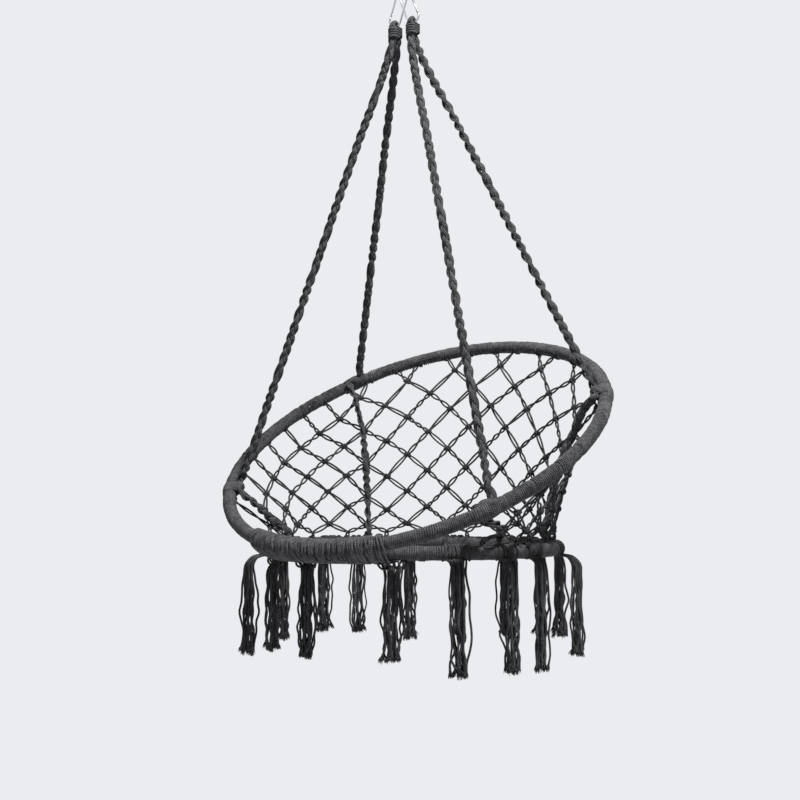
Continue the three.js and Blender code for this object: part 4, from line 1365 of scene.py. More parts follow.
@dataclass
class SideRope(ChairPart):
    """The plaited rope of one side: from the seat hoop to its eye and back to the seat hoop.

    Attributes:
        name: "left" or "right".
        side: 1 for the left side, -1 for the right.
        back: Half columns where the back leg is bound to the back hoop and ends on the seat hoop.
        front: The same for the front leg.
        back_run: Half the length that the back leg lies along the hoop.
        front_run: The same for the front leg.
        radius: Half the width of the rope.
        plait: Length of one full plait.
        wide: How far a strand swings to both sides.
        deep: How far it swings forward and back.
        strand: Distance from one of a strand's three cords to the next.
        cord: Radius of such a cord.
        core: Radius of the strands' inner cords, which close the plait's middle.
    """

    name: str
    side: int
    back: tuple[float, float]
    front: tuple[float, float]
    back_run: float = 0.0145
    front_run: float = 0.0145
    radius: float = 0.00775
    plait: float = 0.076
    wide: float = 0.0044
    deep: float = 0.0035
    strand: float = 0.0030
    cord: float = 0.0017
    core: float = 0.0034
    slot = Slot.ROPE
    finish = ROPE_CORD

    EYE_HEIGHT = -0.06798
    EYE_SPREAD = 0.021  # from the middle of the chair to the middle of an eye
    EYE_REACH = 0.0023 + 0.0064  # the hook's wire and the pressed rope round it
    EYE_PRESSED = 0.3  # share of the plait's width that the hook takes away
    LEG_OFFSET = 0.00815  # from the eye's middle to a leg's, under the whipping
    NECK_TOP = -0.07398
    NECK_FOOT = -0.08998
    BACK_ROWS = (6.8, 5, 3.3, 1.7)  # rows of the net that the back leg passes
    FRONT_ROWS = (1,)
    NET_GAP = 0.0137  # from the net's surface to the middle of a leg
    FOOT_REACHES = (0.033, 0.0245, 0.0115)  # from the seat hoop's bar to the leg's last points
    SPACING = 0.0028
    # Where a leg bends away from its neck: how far down, and how far on its own way.
    BEND = ((0.009, 0.003), (0.012, 0.012))
    APPROACH = 0.030  # how far before the hoop a leg starts to turn along it
    # Past the hoop: share of the way to the net, drop, and distance from the hoop in runs.
    LEAVE = (0.3, 0.009, 0.69)
    WHIP_OVER = 0.0028  # how far the whipping's top stands over the neck's
    WIDE_SIDE = np.array([0.53, 0.85, 0.0])  # the way that the plait's wide side lies in
    EYE_TWIST = 0.10  # length over which the rope turns at the eye

    def _neck(self, back: float, height: float) -> Array:
        """Returns a point over the eye's middle line, so far back and so high."""
        return np.array([self.side * self.EYE_SPREAD, back, height])

    def _leg(self, back: int, column: tuple[float, float], rows: Sequence[float],
             run: float) -> list[Array]:
        """Finds the way of one leg.

        Args:
            back: 1 for the back leg, -1 for the front leg.
            column: Half columns of its hold on the back hoop and of its foot.
            rows: Rows of the net that it passes.
            run: Half the length that it lies along the hoop.

        Returns:
            Points from its neck to the seat hoop.
        """
        top, foot = column
        hold = RopeHold(top)
        neck = self._neck(back * self.LEG_OFFSET, self.NECK_FOOT)
        way = unit(hold.middle - neck)
        forward = hold.tangent * math.copysign(1.0, float(way @ hold.tangent))
        bend = [neck, *(neck - UP * down + way * on for down, on in self.BEND)]
        approach = hold.middle - forward * run - way * self.APPROACH
        straight = [bend[-1] + (approach - bend[-1]) * share for share in (0.25, 0.5, 0.75, 1.0)]
        held = [hold.middle + forward * run * share for share in (-1, -0.4, 0.4, 1)]
        beside = []
        for row in rows:
            place = blend(foot, top, row / NET.full_rows)
            beside.append(NET.point(place, row) - NET.normal(place, row) * self.NET_GAP)
        share, drop, off = self.LEAVE
        leave = held[-1] + (beside[0] - held[-1]) * share - UP * drop + hold.away * run * off
        middle = SEAT_HOOP.point(NET.foot_angle(foot))
        inward = unit(UP - outward_at(middle))
        end = [middle + inward * reach for reach in self.FOOT_REACHES]
        return [*bend, *straight, *held, leave, *beside, *end]

    def route(self) -> Array:
        """Finds the middle of the rope, by way of the front leg, the eye and the back leg.

        Returns:
            Rows of points from the front foot to the back foot.
        """
        eye = []
        for turn in np.linspace(math.pi, 0, 9):
            spot = self.EYE_REACH * math.cos(turn), self.EYE_HEIGHT + self.EYE_REACH * math.sin(turn)
            eye.append(self._neck(*spot))
        points = [
            *self._leg(-1, self.front, self.FRONT_ROWS, self.front_run)[::-1],
            self._neck(-self.LEG_OFFSET, self.NECK_TOP),
            *eye,
            self._neck(self.LEG_OFFSET, self.NECK_TOP),
            *self._leg(1, self.back, self.BACK_ROWS, self.back_run),
        ]
        return smooth_path(points, self.SPACING)

    def _sides(self, route: Array, along: Array, rng: random.Random) -> tuple[Array, Array]:
        """Finds the plait's wide and deep ways, which turn at the eye so that both legs look alike.

        Args:
            route: The middle of the rope.
            along: The length to each of its points.
            rng: Random numbers for a slow, small twist.

        Returns:
            Rows of unit vectors for the wide way, and for the deep way.
        """
        way = tangents(route)
        flat = carried(way, np.array([1.0, 0.2, 0.0]))
        deep = np.cross(way, flat)
        eye = int(np.argmax(route[:, 2]))
        facing = []
        for at in (int(eye * 0.7), eye + int((len(route) - eye) * 0.3)):  # a place high on each leg
            facing.append(math.atan2(float(self.WIDE_SIDE @ deep[at]), float(self.WIDE_SIDE @ flat[at])))
        past_eye = np.clip((along - along[eye]) / self.EYE_TWIST + 0.5, 0.0, 1.0)
        past_eye = past_eye**2 * (3 - 2 * past_eye)
        twist = facing[0] + math.remainder(facing[1] - facing[0], math.pi) * past_eye
        twist = twist + 0.3 * wander(rng, 4, 0.5)(along)
        return turned(twist, flat, deep), turned(twist, deep, -flat)

    def build(self) -> Iterable[bpy.types.Object]:
        """Plaits the rope, ties its ends and winds the whipping.

        Yields:
            The rope and its whipping.
        """
        route = self.route()
        rng = random.Random(40 + self.side)
        along = lengths_along(route)
        flat, deep = self._sides(route, along, rng)
        pace = TAU * along / self.plait + 0.5 * wander(rng, 4, 0.25)(along)
        full = 1 - self.EYE_PRESSED * np.clip((route[:, 2] - self.NECK_TOP) / 0.012, 0.0, 1.0)
        mesh = CordMesh()
        mesh.add_tube(route, self.core, 6)
        for strand in range(3):
            phase = pace + TAU * strand / 3
            u = self.wide * full * np.sin(phase)
            v = self.deep * full * np.sin(2 * phase)
            middle = route + u[:, None] * flat + v[:, None] * deep
            strand_way = tangents(middle)
            beside = unit(np.cross(deep, strand_way))
            lift = unit(np.cross(strand_way, beside))
            roll = 0.6 * np.sin(phase + 0.5) + 0.2 * wander(rng, 3, 0.1)(along)
            for place in (-1, 0, 1):
                off = place * self.strand * full[:, None] * turned(roll, beside, lift)
                off = off + (0.0007 * (1 - abs(place)) * np.sign(v + 1e-9))[:, None] * deep
                mesh.add_tube(middle + off, self.cord, 6, away=lift)
        for end, inner in ((route[0], route[7]), (route[-1], route[-8])):
            self._foot_turns(mesh, end, inner, rng)
        yield self.place(mesh, self.name + "_plaited_rope", self.name + "_rope")
        yield self._whipping(rng)

    def _foot_turns(self, mesh: CordMesh, end: Array, inner: Array, rng: random.Random) -> None:
        """Adds the turns of cord that tie the rope's end above the seat hoop.

        Args:
            mesh: Where they go.
            end: The rope's last point.
            inner: A point of the rope a little farther in.
            rng: Random numbers for their start.
        """
        way = unit(inner - end)
        side = unit(np.cross(way, UP))
        cord, pitch, turns, steps = 0.0018, 0.0034, 3.5, 20
        t = TAU * np.arange(int(turns * steps) + 1) / steps
        reach = self.radius - 0.0006
        height = 0.0045 + t / TAU * pitch + 0.0009 * np.sin(t + rng.uniform(0, TAU))
        mesh.add_tube(end + height[:, None] * way + reach * turned(t, side, np.cross(way, side)), cord, 6)

    def _whipping(self, rng: random.Random) -> bpy.types.Object:
        """Makes the cord wound round both legs under the eye.

        Args:
            rng: Random numbers for its slack.

        Returns:
            The whipping.
        """
        cord, pitch, turns, steps = 0.0023, 0.0048, 4, 36
        top = self.NECK_TOP + self.WHIP_OVER
        apart = self.LEG_OFFSET - 0.002
        reach = self.radius + cord * 0.6
        slack = wander(rng, 4, 30.0)
        i = np.arange(turns * steps + 1)
        turn = TAU * i / steps
        sides = turned(turn, np.array([1.0, 0.0, 0.0]), np.array([0.0, 1.0, 0.0]))
        back = np.copysign(apart, sides[:, 1]) * np.minimum(1, np.abs(sides[:, 1]) * 6)
        tip = 0.0013 * np.sin(turn + 0.8) * (1 + 0.6 * slack(i))
        middle = self._neck(0.0, top) + np.stack([0 * back, back, tip - pitch * i / steps], axis=1)
        mesh = CordMesh()
        mesh.add_tube(middle + sides * reach, cord, 8, away=sides)
        name = self.name + "_whipping"
        return self.place(mesh, name + "_cord", name)


@dataclass(frozen=True)
class LashingLayer:
    """One cord wound round both hoops.

    Attributes:
        pitch: From one turn to the next.
        height: How far it lies over the windings.
        lean: How far a turn may lean along the hoops.
        cord: Radius of the cord.
        shift: How far along the hoops it starts.
    """

    pitch: float
    height: float
    lean: float
    cord: float
    shift: float = 0.0


@dataclass
class FrontLashing(ChairPart):
    """The cords that tie both hoops together at the front: a close layer under two open, leaning ones.

    Attributes:
        middle: Degrees of its middle, seen from above.
        length: Along the seat hoop.
        steps: Points in one turn.
        seed: Seed of its folds.
        layers: Its cords, the lowest first.
        reach: From the seat hoop's bar to its outside.
    """

    middle: float = 268.0
    length: float = 0.2528
    steps: int = 22
    seed: int = 8
    layers: tuple[LashingLayer, ...] = (
        LashingLayer(0.0034, 0.0016, 0.0022, 0.0019),
        LashingLayer(0.0072, 0.0044, 0.0068, 0.0018, -0.0016),
        LashingLayer(0.0072, 0.004475, 0.0068, 0.0018, 0.0019),
    )
    reach = 0.0198
    slot = Slot.WINDING
    finish = LIT_WINDING_CORD

    MARGIN = 0.010  # kept clear at both ends for other cords
    SPACING = 0.0048
    SLACK = 0.0005

    @classmethod
    def covers(cls, direction: float, width: float) -> bool:
        """Tells whether the lashing takes up a direction.

        Args:
            direction: Degrees, seen from above.
            width: Width of what would be there.

        Returns:
            Whether it does, with a margin.
        """
        span = math.degrees(cls.length / SEAT_RADIUS)
        margin = math.degrees((cls.MARGIN + width / 2) / SEAT_RADIUS)
        return abs(direction - cls.middle) < span / 2 + margin

    def build(self) -> Iterable[bpy.types.Object]:
        """Winds each layer round both hoops.

        Yields:
            The lashing.
        """
        rng = random.Random(self.seed)
        mesh = CordMesh()
        for layer in self.layers:
            mesh.add_tube(self._turns(layer, rng), layer.cord, 6)
        yield self.place(mesh, "front_lashing_cord", "front_lashing")

    def _turns(self, layer: LashingLayer, rng: random.Random) -> Array:
        """Finds the way of one layer's cord.

        Args:
            layer: The layer.
            rng: Random numbers for its folds.

        Returns:
            Rows of points from one end to the other.
        """
        turns = int(self.length / layer.pitch)
        span = math.degrees(self.length / SEAT_RADIUS)
        slack, fold = wander(rng, 5, 5.0), wander(rng, 5, 3.5)
        points = []
        for i in range(turns * self.steps + 1):
            turn = TAU * i / self.steps
            number = i / self.steps
            direction = self.middle + (i / (turns * self.steps) - 0.5) * span
            tip = layer.shift + layer.lean * float(fold(number)) * math.sin(turn + 0.9)
            direction += math.degrees(tip / SEAT_RADIUS)
            bar = SEAT_HOOP.point(direction)
            inward = -outward_at(bar)
            # Each turn goes round whichever hoop's bar lies farther out on its side.
            other = BACK_HOOP.point(angle_toward(BACK_HOOP, direction)) - bar
            off = float(other @ inward), float(other @ UP)
            u, v = off if off[0] * math.cos(turn) + off[1] * math.sin(turn) > 0 else (0.0, 0.0)
            reach = WRAP_RADIUS + layer.height + self.SLACK * float(slack(number * 3))
            points.append(bar + inward * u + UP * v + reach * turned(turn, inward, UP))
        return smooth_path(points, self.SPACING)


@dataclass
class Tassel(ChairPart):
    """One tassel: cords tied to the seat hoop, gathered and left to hang.

    Its cords are hitched over the hoop, or hang from slack loops where the front lashing is in the way.

    Attributes:
        number: Its place in the ring of tassels.
        direction: Degrees, seen from above.
        drop: How far its ends hang below the seat hoop's bar.
        out: How far outside the bar it hangs.
        cords: Cords in its bundle.
        cord: Radius of a cord.
    """

    number: int
    direction: float
    drop: float
    out: float
    cords: int = 15
    cord: float = 0.0021
    slot = Slot.TASSEL
    finish = TASSEL_CORD

    WIDTH = 0.044  # along the hoop
    CLEAR = 0.0165  # from the bar down to where the bundle is gathered
    LASHED_CLEAR = 0.0260
    NECK = 0.014  # from there down to the bundle's neck
    LOOPS = 6
    LOOP_STEP = 0.0075
    HITCHES = 8
    HITCH_TURN = (128, -84)  # degrees of a hitch round the bar, from inside over the top
    # Half the bundle's width along the hoop and outward, from the hoop to the cords' ends.
    START_SPREAD = 0.0205
    GATHER_SPREAD = (0.0170, 0.0060)
    NECK_SPREAD = (0.0130, 0.0095)
    FOOT_ALONG = (0.0115, 0.0160)
    FOOT_OUT = (0.0095, 0.0125)
    STRAY_FROM = 0.75  # share of the bundle's width outside which cords may stray
    STRAY_ODDS = 0.45
    STRAY_BOW = (0.005, 0.011)
    BOW = (-0.0012, 0.0012)
    WOBBLE = 0.0027
    SHORTEST = 0.93
    FIBRES = 18
    FIBRE_LENGTH = (0.007, 0.014)
    FIBRE_RADII = np.array([0.0008, 0.0008, 0.0004])

    def build(self) -> Iterable[bpy.types.Object]:
        """Ties the cords to the hoop, gathers them and lets them hang.

        Yields:
            The tassel.
        """
        rng = random.Random(100 + self.number)
        bar = SEAT_HOOP.point(self.direction)
        outward = outward_at(bar)
        along = np.cross(UP, outward)
        lashed = FrontLashing.covers(self.direction, self.WIDTH)
        slope = unit((0.0 if lashed else 1.0) * outward - UP)
        start = bar + slope * ((FrontLashing.reach if lashed else WRAP_RADIUS) - 0.001)
        clear = self.LASHED_CLEAR if lashed else self.CLEAR
        hang = bar + outward * self.out
        bend = [start + slope * 0.003,
                (start + slope * 0.007) * 0.45 + (hang - UP * clear) * 0.55,
                hang - UP * (clear + self.NECK)]
        mesh = CordMesh()
        if lashed:
            self._loops(mesh, bend[1] + UP * 0.004, along, outward, rng)
        else:
            self._hitches(mesh, rng)
        for number in range(self.cords):
            self._cord(mesh, number, bend, hang - UP * self.drop, along, outward, rng)
        name = f"tassel_{self.number:02d}"
        yield self.place(mesh, name + "_cords", name)

    def _loops(self, mesh: CordMesh, centre: Array, along: Array, outward: Array,
               rng: random.Random) -> None:
        """Adds the slack loops that the bundle hangs from, under the lashing.

        Args:
            mesh: Where they go.
            centre: The middle of the row of loops.
            along: The way along the hoop.
            outward: The way out from the seat's middle.
            rng: Random numbers for their size and lean.
        """
        for number in range(self.LOOPS):
            place = (number - (self.LOOPS - 1) / 2) * self.LOOP_STEP
            lean = along * rng.uniform(0.006, 0.010) + outward * rng.uniform(-0.002, 0.004)
            tall = UP * rng.uniform(0.006, 0.009) + along * rng.uniform(-0.004, 0.004)
            spot = centre + along * place + UP * (0.0045 - 6 * place**2)
            spot = spot + outward * rng.uniform(-0.003, 0.003)
            add_ring(mesh, spot, lean, tall, self.cord, outward * 0.0022)

    def _hitches(self, mesh: CordMesh, rng: random.Random) -> None:
        """Adds the cords' turns over the outer side of the hoop.

        Args:
            mesh: Where they go.
            rng: Random numbers for their place and lean.
        """
        s = np.linspace(-1, 1, 15)
        turn = np.radians(np.linspace(*self.HITCH_TURN, len(s)))
        height = WRAP_RADIUS + self.cord * (0.55 - 1.6 * s**8)  # both ends dip into the winding
        for i in range(self.HITCHES):
            place = ((i + 0.5) / self.HITCHES - 0.5) * self.WIDTH + rng.uniform(-0.0022, 0.0022)
            angle = self.direction + math.degrees(place / SEAT_RADIUS)
            lean = np.degrees(rng.uniform(-0.0045, 0.0045) / SEAT_RADIUS) * s
            way = turned(turn, SEAT_HOOP.outward(angle), UP)
            mesh.add_tube(SEAT_HOOP.point(angle + lean) + way * height[:, None], self.cord, 6, away=way)

    def _cord(self, mesh: CordMesh, number: int, bend: Sequence[Array], foot: Array, along: Array,
              outward: Array, rng: random.Random) -> None:
        """Adds one cord of the bundle, with its frayed end.

        Args:
            mesh: Where it goes.
            number: Its number in the bundle.
            bend: Where the bundle leaves the hoop, is gathered and has its neck.
            foot: The middle of the bundle's lower end.
            along: The way along the hoop.
            outward: The way out from the seat's middle.
            rng: Random numbers for its length, spread and sway.
        """
        reach, turn = math.sqrt((number + 0.6) / self.cords), number * 2.4 + self.number
        a, b = reach * math.cos(turn), reach * math.sin(turn)
        stray = reach > self.STRAY_FROM and rng.random() < self.STRAY_ODDS
        top = bend[-1]
        end = top + (foot - top) * rng.uniform(self.SHORTEST, 1.0)
        low = a * rng.uniform(*self.FOOT_ALONG), b * rng.uniform(*self.FOOT_OUT)
        bow = rng.uniform(*(self.STRAY_BOW if stray else self.BOW))
        neck = a * self.NECK_SPREAD[0], b * self.NECK_SPREAD[1]
        points = [bend[0] + along * a * self.START_SPREAD,
                  bend[1] + along * a * self.GATHER_SPREAD[0] + outward * b * self.GATHER_SPREAD[1],
                  top + along * neck[0] + outward * neck[1]]
        sway_a, sway_b = wander(rng, 3, 0.09), wander(rng, 3, 0.11)
        steps = 9
        length = float(np.linalg.norm(end - top))
        for i in range(1, steps + 1):
            s = i / steps
            wobble = self.WOBBLE * min(1, 3 * s) * (0.5 + s)
            belly = bow * math.sin(math.pi * s)
            beside = blend(neck[0], low[0], s) + a * belly + wobble * float(sway_a(s * length))
            before = blend(neck[1], low[1], s) + b * belly + wobble * float(sway_b(s * length))
            points.append(top + (end - top) * s + along * beside + outward * before)
        path = smooth_path(points, 0.007)
        radius = np.full(len(path), self.cord * rng.uniform(0.85, 1.05))
        radius[-2:] *= (1.12, 1.4)  # the plies open at the end
        mesh.add_tube(path, radius, 6)
        self._fray(mesh, path, rng)

    def _fray(self, mesh: CordMesh, path: Array, rng: random.Random) -> None:
        """Adds the loose fibres at a cord's end.

        Args:
            mesh: Where they go.
            path: The middle of the cord.
            rng: Random numbers for their length and flare.
        """
        way = unit(path[-1] - path[-2])
        side = unit(np.cross(way, np.array([1.0, 0.3, 0.0])))
        for _ in range(self.FIBRES):
            out = turned(rng.uniform(0, TAU), side, np.cross(way, side))
            length = rng.uniform(*self.FIBRE_LENGTH)
            flare = rng.uniform(0.02, 0.5) ** 1.3
            start = path[-1] - way * 0.004 + out * 0.0013
            middle = start + way * length * 0.45 + out * length * flare * 0.55
            tip = start + way * length + out * length * flare * rng.uniform(0.6, 1.0)
            mesh.add_tube(np.array([start, middle, tip]), self.FIBRE_RADII, 4)


@dataclass
class SnapHook(ChairPart):
    """One snap hook of bent wire, with its sprung gate and rivet.

    It is drawn in its own frame, upright with the upper bend's middle at the origin and the gate on
    the +X side, and then leaned and turned into its place.

    Attributes:
        name: "left" or "right".
        side: 1 for the left side, -1 for the right.
        wire: Radius of its wire.
        bend: Radius of both bends, to the middle of the wire.
        straight: Distance between the bends' middles.
        gate_start: Height of the rivet over the lower bend's middle.
        gate_length: From the rivet to the gate's upper end.
        gate: Radius of the gate.
        tongue: Length of the wire's flattened end.
    """

    name: str
    side: int
    wire: float = 0.0023
    bend: float = 0.0127
    straight: float = 0.050
    gate_start: float = 0.008
    gate_length: float = 0.0345
    gate: float = 0.0021
    tongue: float = 0.006
    body = "hooks"
    slot = Slot.HOOK
    finish = CHROME

    TOP_STEP = 0.0076  # how far before or behind the hang point its upper bend stands
    TONGUE_WIDE, TONGUE_THIN = 0.94, 0.38  # shares of the wire's radius
    FORK_GAP = 0.0012  # from the tongue's end to the foot of the gate's round part
    SKIN = 0.0004  # how far one shape reaches into the next
    CHEEK_PLACE = 0.00155  # from the gate's middle to the middle of a cheek of its fork
    CHEEK_WIDTHS = np.array([0.45, 0.8, 0.95, 0.95, 0.95, 0.9])  # shares of the gate's radius, upward
    CHEEK_THIN = 0.26
    ROD_RADII = np.array([0.0019, 0.0021, 0.0021, 0.0018])
    RIVET_PLACES = (-0.0026, -0.0024, -0.0021, 0.0021, 0.0024, 0.0026)
    RIVET_RADII = np.array([0.0008, 0.0012, 0.0009, 0.0009, 0.0012, 0.0008])

    @property
    def pivot(self) -> float:
        """Height of the rivet in the hook's own frame."""
        return -self.straight + self.gate_start

    @property
    def nose(self) -> float:
        """Height of the gate's upper end in the hook's own frame."""
        return self.pivot + self.gate_length

    def _placed(self, points: Array) -> Array:
        """Moves points from the hook's own frame to the chair's.

        Args:
            points: Points in the hook's own frame.

        Returns:
            The same points where the hook hangs.
        """
        lean = math.asin(SideRope.EYE_SPREAD / self.straight)
        cross = math.asin(self.TOP_STEP / (self.straight * math.cos(lean) + self.bend))
        points = np.asarray(points, float) * np.array([self.side, 1, 1])
        a = -self.side * lean
        x = points[..., 0] * math.cos(a) + points[..., 2] * math.sin(a)
        z = -points[..., 0] * math.sin(a) + points[..., 2] * math.cos(a)
        b = -self.side * cross
        y = points[..., 1] * math.cos(b) - z * math.sin(b)
        z = points[..., 1] * math.sin(b) + z * math.cos(b)
        return np.stack([x, y + self.side * self.TOP_STEP, z - (self.bend - self.wire)], axis=-1)

    def _arc(self, start: float, end: float, height: float) -> list[tuple[float, float, float]]:
        """Returns points of a bend, from one turn to another, round a middle at that height."""
        turns = np.linspace(start, end, 25)
        return [(self.bend * math.cos(t), 0, self.bend * math.sin(t) + height) for t in turns]

    def _gate_line(self, heights: Iterable[float], y: float = 0.0) -> Array:
        """Returns points on the gate's side of the hook, in the hook's own frame."""
        return np.array([(self.bend, y, z) for z in heights])

    def _add_flat(self, mesh: CordMesh, points: Array, radius: float | Array, sides: int,
                  thin: float) -> None:
        """Adds a bar that is flattened across the hook's plane."""
        across = self._placed(points + np.array([0, 1.0, 0])) - self._placed(points)
        mesh.add_tube(self._placed(points), radius, sides, away=across, thin=thin)

    def build(self) -> Iterable[bpy.types.Object]:
        """Bends the wire, hangs the gate in it and sets the rivet.

        Yields:
            The wire, the gate and the rivet.
        """
        eye = self.pivot - self.tongue / 2
        path = np.array([(self.bend, 0, self.nose + 0.0003), *self._arc(0, math.pi, 0.0),
                         *self._arc(math.pi, TAU, -self.straight), (self.bend, 0, eye)])
        hook = CordMesh()
        hook.add_tube(self._placed(path), self.wire, 20)
        tongue = self._gate_line(np.linspace(eye - 0.0006, self.pivot + self.tongue / 2, 6))
        self._add_flat(hook, tongue, self.wire * self.TONGUE_WIDE, 20, self.TONGUE_THIN)
        yield self.place(hook, self.name + "_hook_wire", self.name + "_snap_hook")
        yield self._gate()
        rivet = CordMesh()
        span = np.array([(self.bend, y, self.pivot) for y in self.RIVET_PLACES])
        rivet.add_tube(self._placed(span), self.RIVET_RADII, 16)
        yield self.place(rivet, self.name + "_rivet_pin", self.name + "_gate_rivet")

    def _gate(self) -> bpy.types.Object:
        """Makes the gate: a round bar whose lower end is forked over the hook's tongue.

        Returns:
            The gate.
        """
        mesh = CordMesh()
        fork = self.pivot + self.tongue / 2 + self.FORK_GAP
        rod = self._gate_line((fork, fork + self.SKIN, self.nose - 0.0006, self.nose))
        mesh.add_tube(self._placed(rod), self.ROD_RADII, 20)
        heights = np.linspace(self.pivot - self.gate, fork + self.SKIN, 6)
        for side in (-1, 1):
            cheek = self._gate_line(heights, side * self.CHEEK_PLACE)
            self._add_flat(mesh, cheek, self.gate * self.CHEEK_WIDTHS, 12, self.CHEEK_THIN)
        name = self.name + "_gate"
        return self.place(mesh, name + "_bar", name, body=name)


TASSEL_PLACES = (
    (16.5, 193.2, 40.8), (46.5, 176.4, 24.0), (61.5, 184.8, 24.0), (81.5, 195.3, 24.0),
    (103.0, 201.6, 24.0), (123.0, 210.0, 24.0), (144.5, 191.1, 24.0), (160.0, 184.8, 24.0),
    (182.5, 193.2, 24.0), (231.5, 189.0, 37.9), (244.0, 176.4, 14.4), (262.5, 182.7, 4.8),
    (296.0, 178.5, 10.8), (318.0, 205.8, 24.0), (337.5, 203.7, 24.0), (351.5, 207.9, 24.0),
)  # degrees seen from above, millimetres down to the ends, and millimetres outside the bar


class HammockChair:
    """The whole chair."""

    def __init__(self) -> None:
        """Lists the parts in the order that they are made in."""
        anchors = range(-NET.last_column, NET.last_column)
        ropes = (SideRope("left", 1, (7, 6), (14, 14)),
                 SideRope("right", -1, (-6.1, -6), (-14, -14), back_run=0.007))
        self.parts: list[ChairPart] = [
            HoopBars(),
            HoopWinding(SEAT_HOOP, "seat_hoop_wrap", seed=5),
            HoopWinding(BACK_HOOP, "back_hoop_wrap", seed=6,
                        creases=tuple(NET.anchor_angle(column + 0.5) for column in anchors)),
            BackNet(),
            SeatNet(),
            *ropes,
            *(RopeBinding(f"{rope.name}_{leg}_binding", RopeHold(getattr(rope, leg)[0]))
              for rope in ropes for leg in ("back", "front")),
            FrontLashing(),
            SnapHook("left", 1),
            SnapHook("right", -1),
            *(Tassel(i + 1, direction, drop / 1000, out / 1000)
              for i, (direction, drop, out) in enumerate(TASSEL_PLACES)),
        ]

    def build(self) -> None:
        """Makes every part and logs its pieces."""
        for part in self.parts:
            for piece in part.build():
                log.info("%s: %d faces", piece.name, len(piece.data.polygons))


# Studio

@dataclass(frozen=True)
class Lamp:
    """A square lamp.

    Attributes:
        name: Its name.
        place: Where it stands.
        watts: Its power.
        size: Its side.
    """

    name: str
    place: tuple[float, float, float]
    watts: float
    size: float

    def build(self, target: Sequence[float]) -> None:
        """Makes the lamp.

        Args:
            target: What it points at.
        """
        data = bpy.data.lights.new(self.name, "AREA")
        data.energy = self.watts
        data.size = self.size
        lamp = bpy.data.objects.new(self.name, data)
        lamp.location = self.place
        way = Vector(target) - Vector(self.place)
        lamp.rotation_euler = way.to_track_quat("-Z", "Y").to_euler()
        bpy.context.scene.collection.objects.link(lamp)


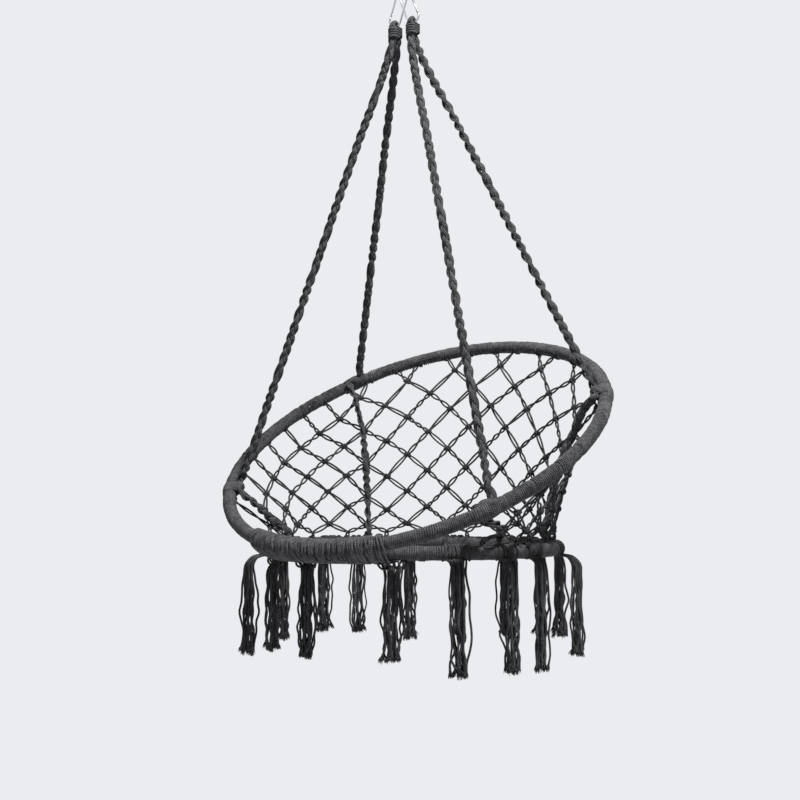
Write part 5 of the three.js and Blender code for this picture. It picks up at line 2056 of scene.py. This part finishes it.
@dataclass(frozen=True)
class Studio:
    """A pale floor, a pale world, two lamps and the photograph's camera.

    Attributes:
        floor_height: Height of the floor.
        floor_radius: Radius of the floor.
        floor_lit: Radius inside which the floor shows its light and shadow.
        floor_fade: Over this length outside, it turns into the plain background.
        pale: Linear colour of the floor and the background.
        ambient: Strength of the light from all sides.
        camera_place: Where the photograph's camera stands.
        camera_turn: Degrees that it looks to the left of straight back.
        camera_rise: Degrees that it looks upward.
        focal_pixels: Its focal length in the photograph's pixels.
        image_pixels: The photograph's width.
        sensor_width: Width of Blender's sensor, in millimetres.
        lamps: The lamps.
        lamp_target: What they point at.
    """

    floor_height: float = -2.30
    floor_radius: float = 6.0
    floor_lit: float = 0.7
    floor_fade: float = 2.0
    pale: tuple[float, float, float] = (0.83, 0.84, 0.87)
    ambient: float = 0.12
    camera_place: tuple[float, float, float] = (1.278, -1.991, -1.019)
    camera_turn: float = 32.89
    camera_rise: float = 4.66
    focal_pixels: float = 1207.1
    image_pixels: float = 800.0
    sensor_width: float = 36.0
    lamps: tuple[Lamp, ...] = (
        Lamp("key_lamp", (1.5, -0.55, 2.1), 165.0, 0.35),
        Lamp("fill_lamp", (-2.0, -1.0, 0.3), 9.0, 1.6),
    )
    lamp_target: tuple[float, float, float] = (0.0, 0.0, -0.95)

    def build(self) -> None:
        """Makes the floor, the world, the lamps and the camera."""
        self._floor()
        self._world()
        for lamp in self.lamps:
            lamp.build(self.lamp_target)
        self._camera()
        bpy.context.scene.view_settings.view_transform = "Standard"

    def _seen_directly(self, graph: Graph) -> Socket:
        """Finds the rays that show the background, straight or by a reflection.

        Args:
            graph: The node tree that asks.

        Returns:
            1 for such rays, 0 for the others.
        """
        path = graph.node("ShaderNodeLightPath")
        seen = Socket(graph, path.outputs["Is Camera Ray"])
        for name in ("Is Glossy Ray", "Is Transmission Ray"):
            seen = graph.math("MAXIMUM", seen, Socket(graph, path.outputs[name]))
        return seen

    def _floor(self) -> None:
        """Makes the floor, which is lit near the chair and plain far from it."""
        bpy.ops.mesh.primitive_circle_add(vertices=96, radius=self.floor_radius, fill_type="NGON",
                                          location=(0, 0, self.floor_height))
        floor = bpy.context.object
        floor.name = "studio_floor"
        material = bpy.data.materials.new("studio_floor")
        graph = Graph(material)
        place = graph.node("ShaderNodeTexCoord").outputs["Object"]
        length = graph.node("ShaderNodeVectorMath", {0: place}, operation="LENGTH")
        reach = Socket(graph, length.outputs["Value"])
        far = ((reach - self.floor_lit) / self.floor_fade).limited() * self._seen_directly(graph)
        near = graph.node("ShaderNodeBsdfDiffuse", {"Color": (*self.pale, 1.0)})
        away = graph.node("ShaderNodeEmission", {"Color": (*self.pale, 1.0), "Strength": 1.0})
        mix = graph.node("ShaderNodeMixShader", {0: far, 1: near.outputs[0], 2: away.outputs[0]})
        graph.node("ShaderNodeOutputMaterial", {"Surface": mix.outputs[0]})
        floor.data.materials.append(material)
        floor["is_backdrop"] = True

    def _world(self) -> None:
        """Makes the light from all sides and the background."""
        world = bpy.data.worlds.new("studio_world")
        bpy.context.scene.world = world
        graph = Graph(world)
        seen = self._seen_directly(graph)
        white = (1.0, 1.0, 1.0, 1.0)
        light = graph.node("ShaderNodeBackground", {"Color": white, "Strength": self.ambient})
        shown = graph.node("ShaderNodeBackground", {"Color": (*self.pale, 1.0), "Strength": 1.0})
        mix = graph.node("ShaderNodeMixShader", {0: seen, 1: light.outputs[0], 2: shown.outputs[0]})
        graph.node("ShaderNodeOutputWorld", {"Surface": mix.outputs[0]})

    def _camera(self) -> None:
        """Makes the camera that was fitted to the photograph."""
        data = bpy.data.cameras.new("photo_camera")
        data.sensor_width = self.sensor_width
        data.lens = self.sensor_width * self.focal_pixels / self.image_pixels
        camera = bpy.data.objects.new("photo_camera", data)
        turn, rise = math.radians(self.camera_turn), math.radians(self.camera_rise)
        way = Vector((-math.sin(turn) * math.cos(rise), math.cos(turn) * math.cos(rise), math.sin(rise)))
        camera.location = self.camera_place
        camera.rotation_euler = way.to_track_quat("-Z", "Y").to_euler()
        bpy.context.scene.collection.objects.link(camera)
        bpy.context.scene.camera = camera


def write_sizes(cad: Sequence) -> None:
    """Gathers the CAD box and the dressed box side by side, without keeping them.

    Args:
        cad: The box of the CAD model, from straight after loading.
    """
    plain = lambda box: [[float(v) for v in corner] for corner in box]
    {"cad": plain(cad), "visual": plain(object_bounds())}


def main() -> None:
    """Builds the chair and the studio."""
    logging.basicConfig(level=logging.INFO, format="%(name)s: %(message)s")
    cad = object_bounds()
    HammockChair().build()
    Studio().build()
    write_sizes(cad)


if __name__ == "__main__":
    main()
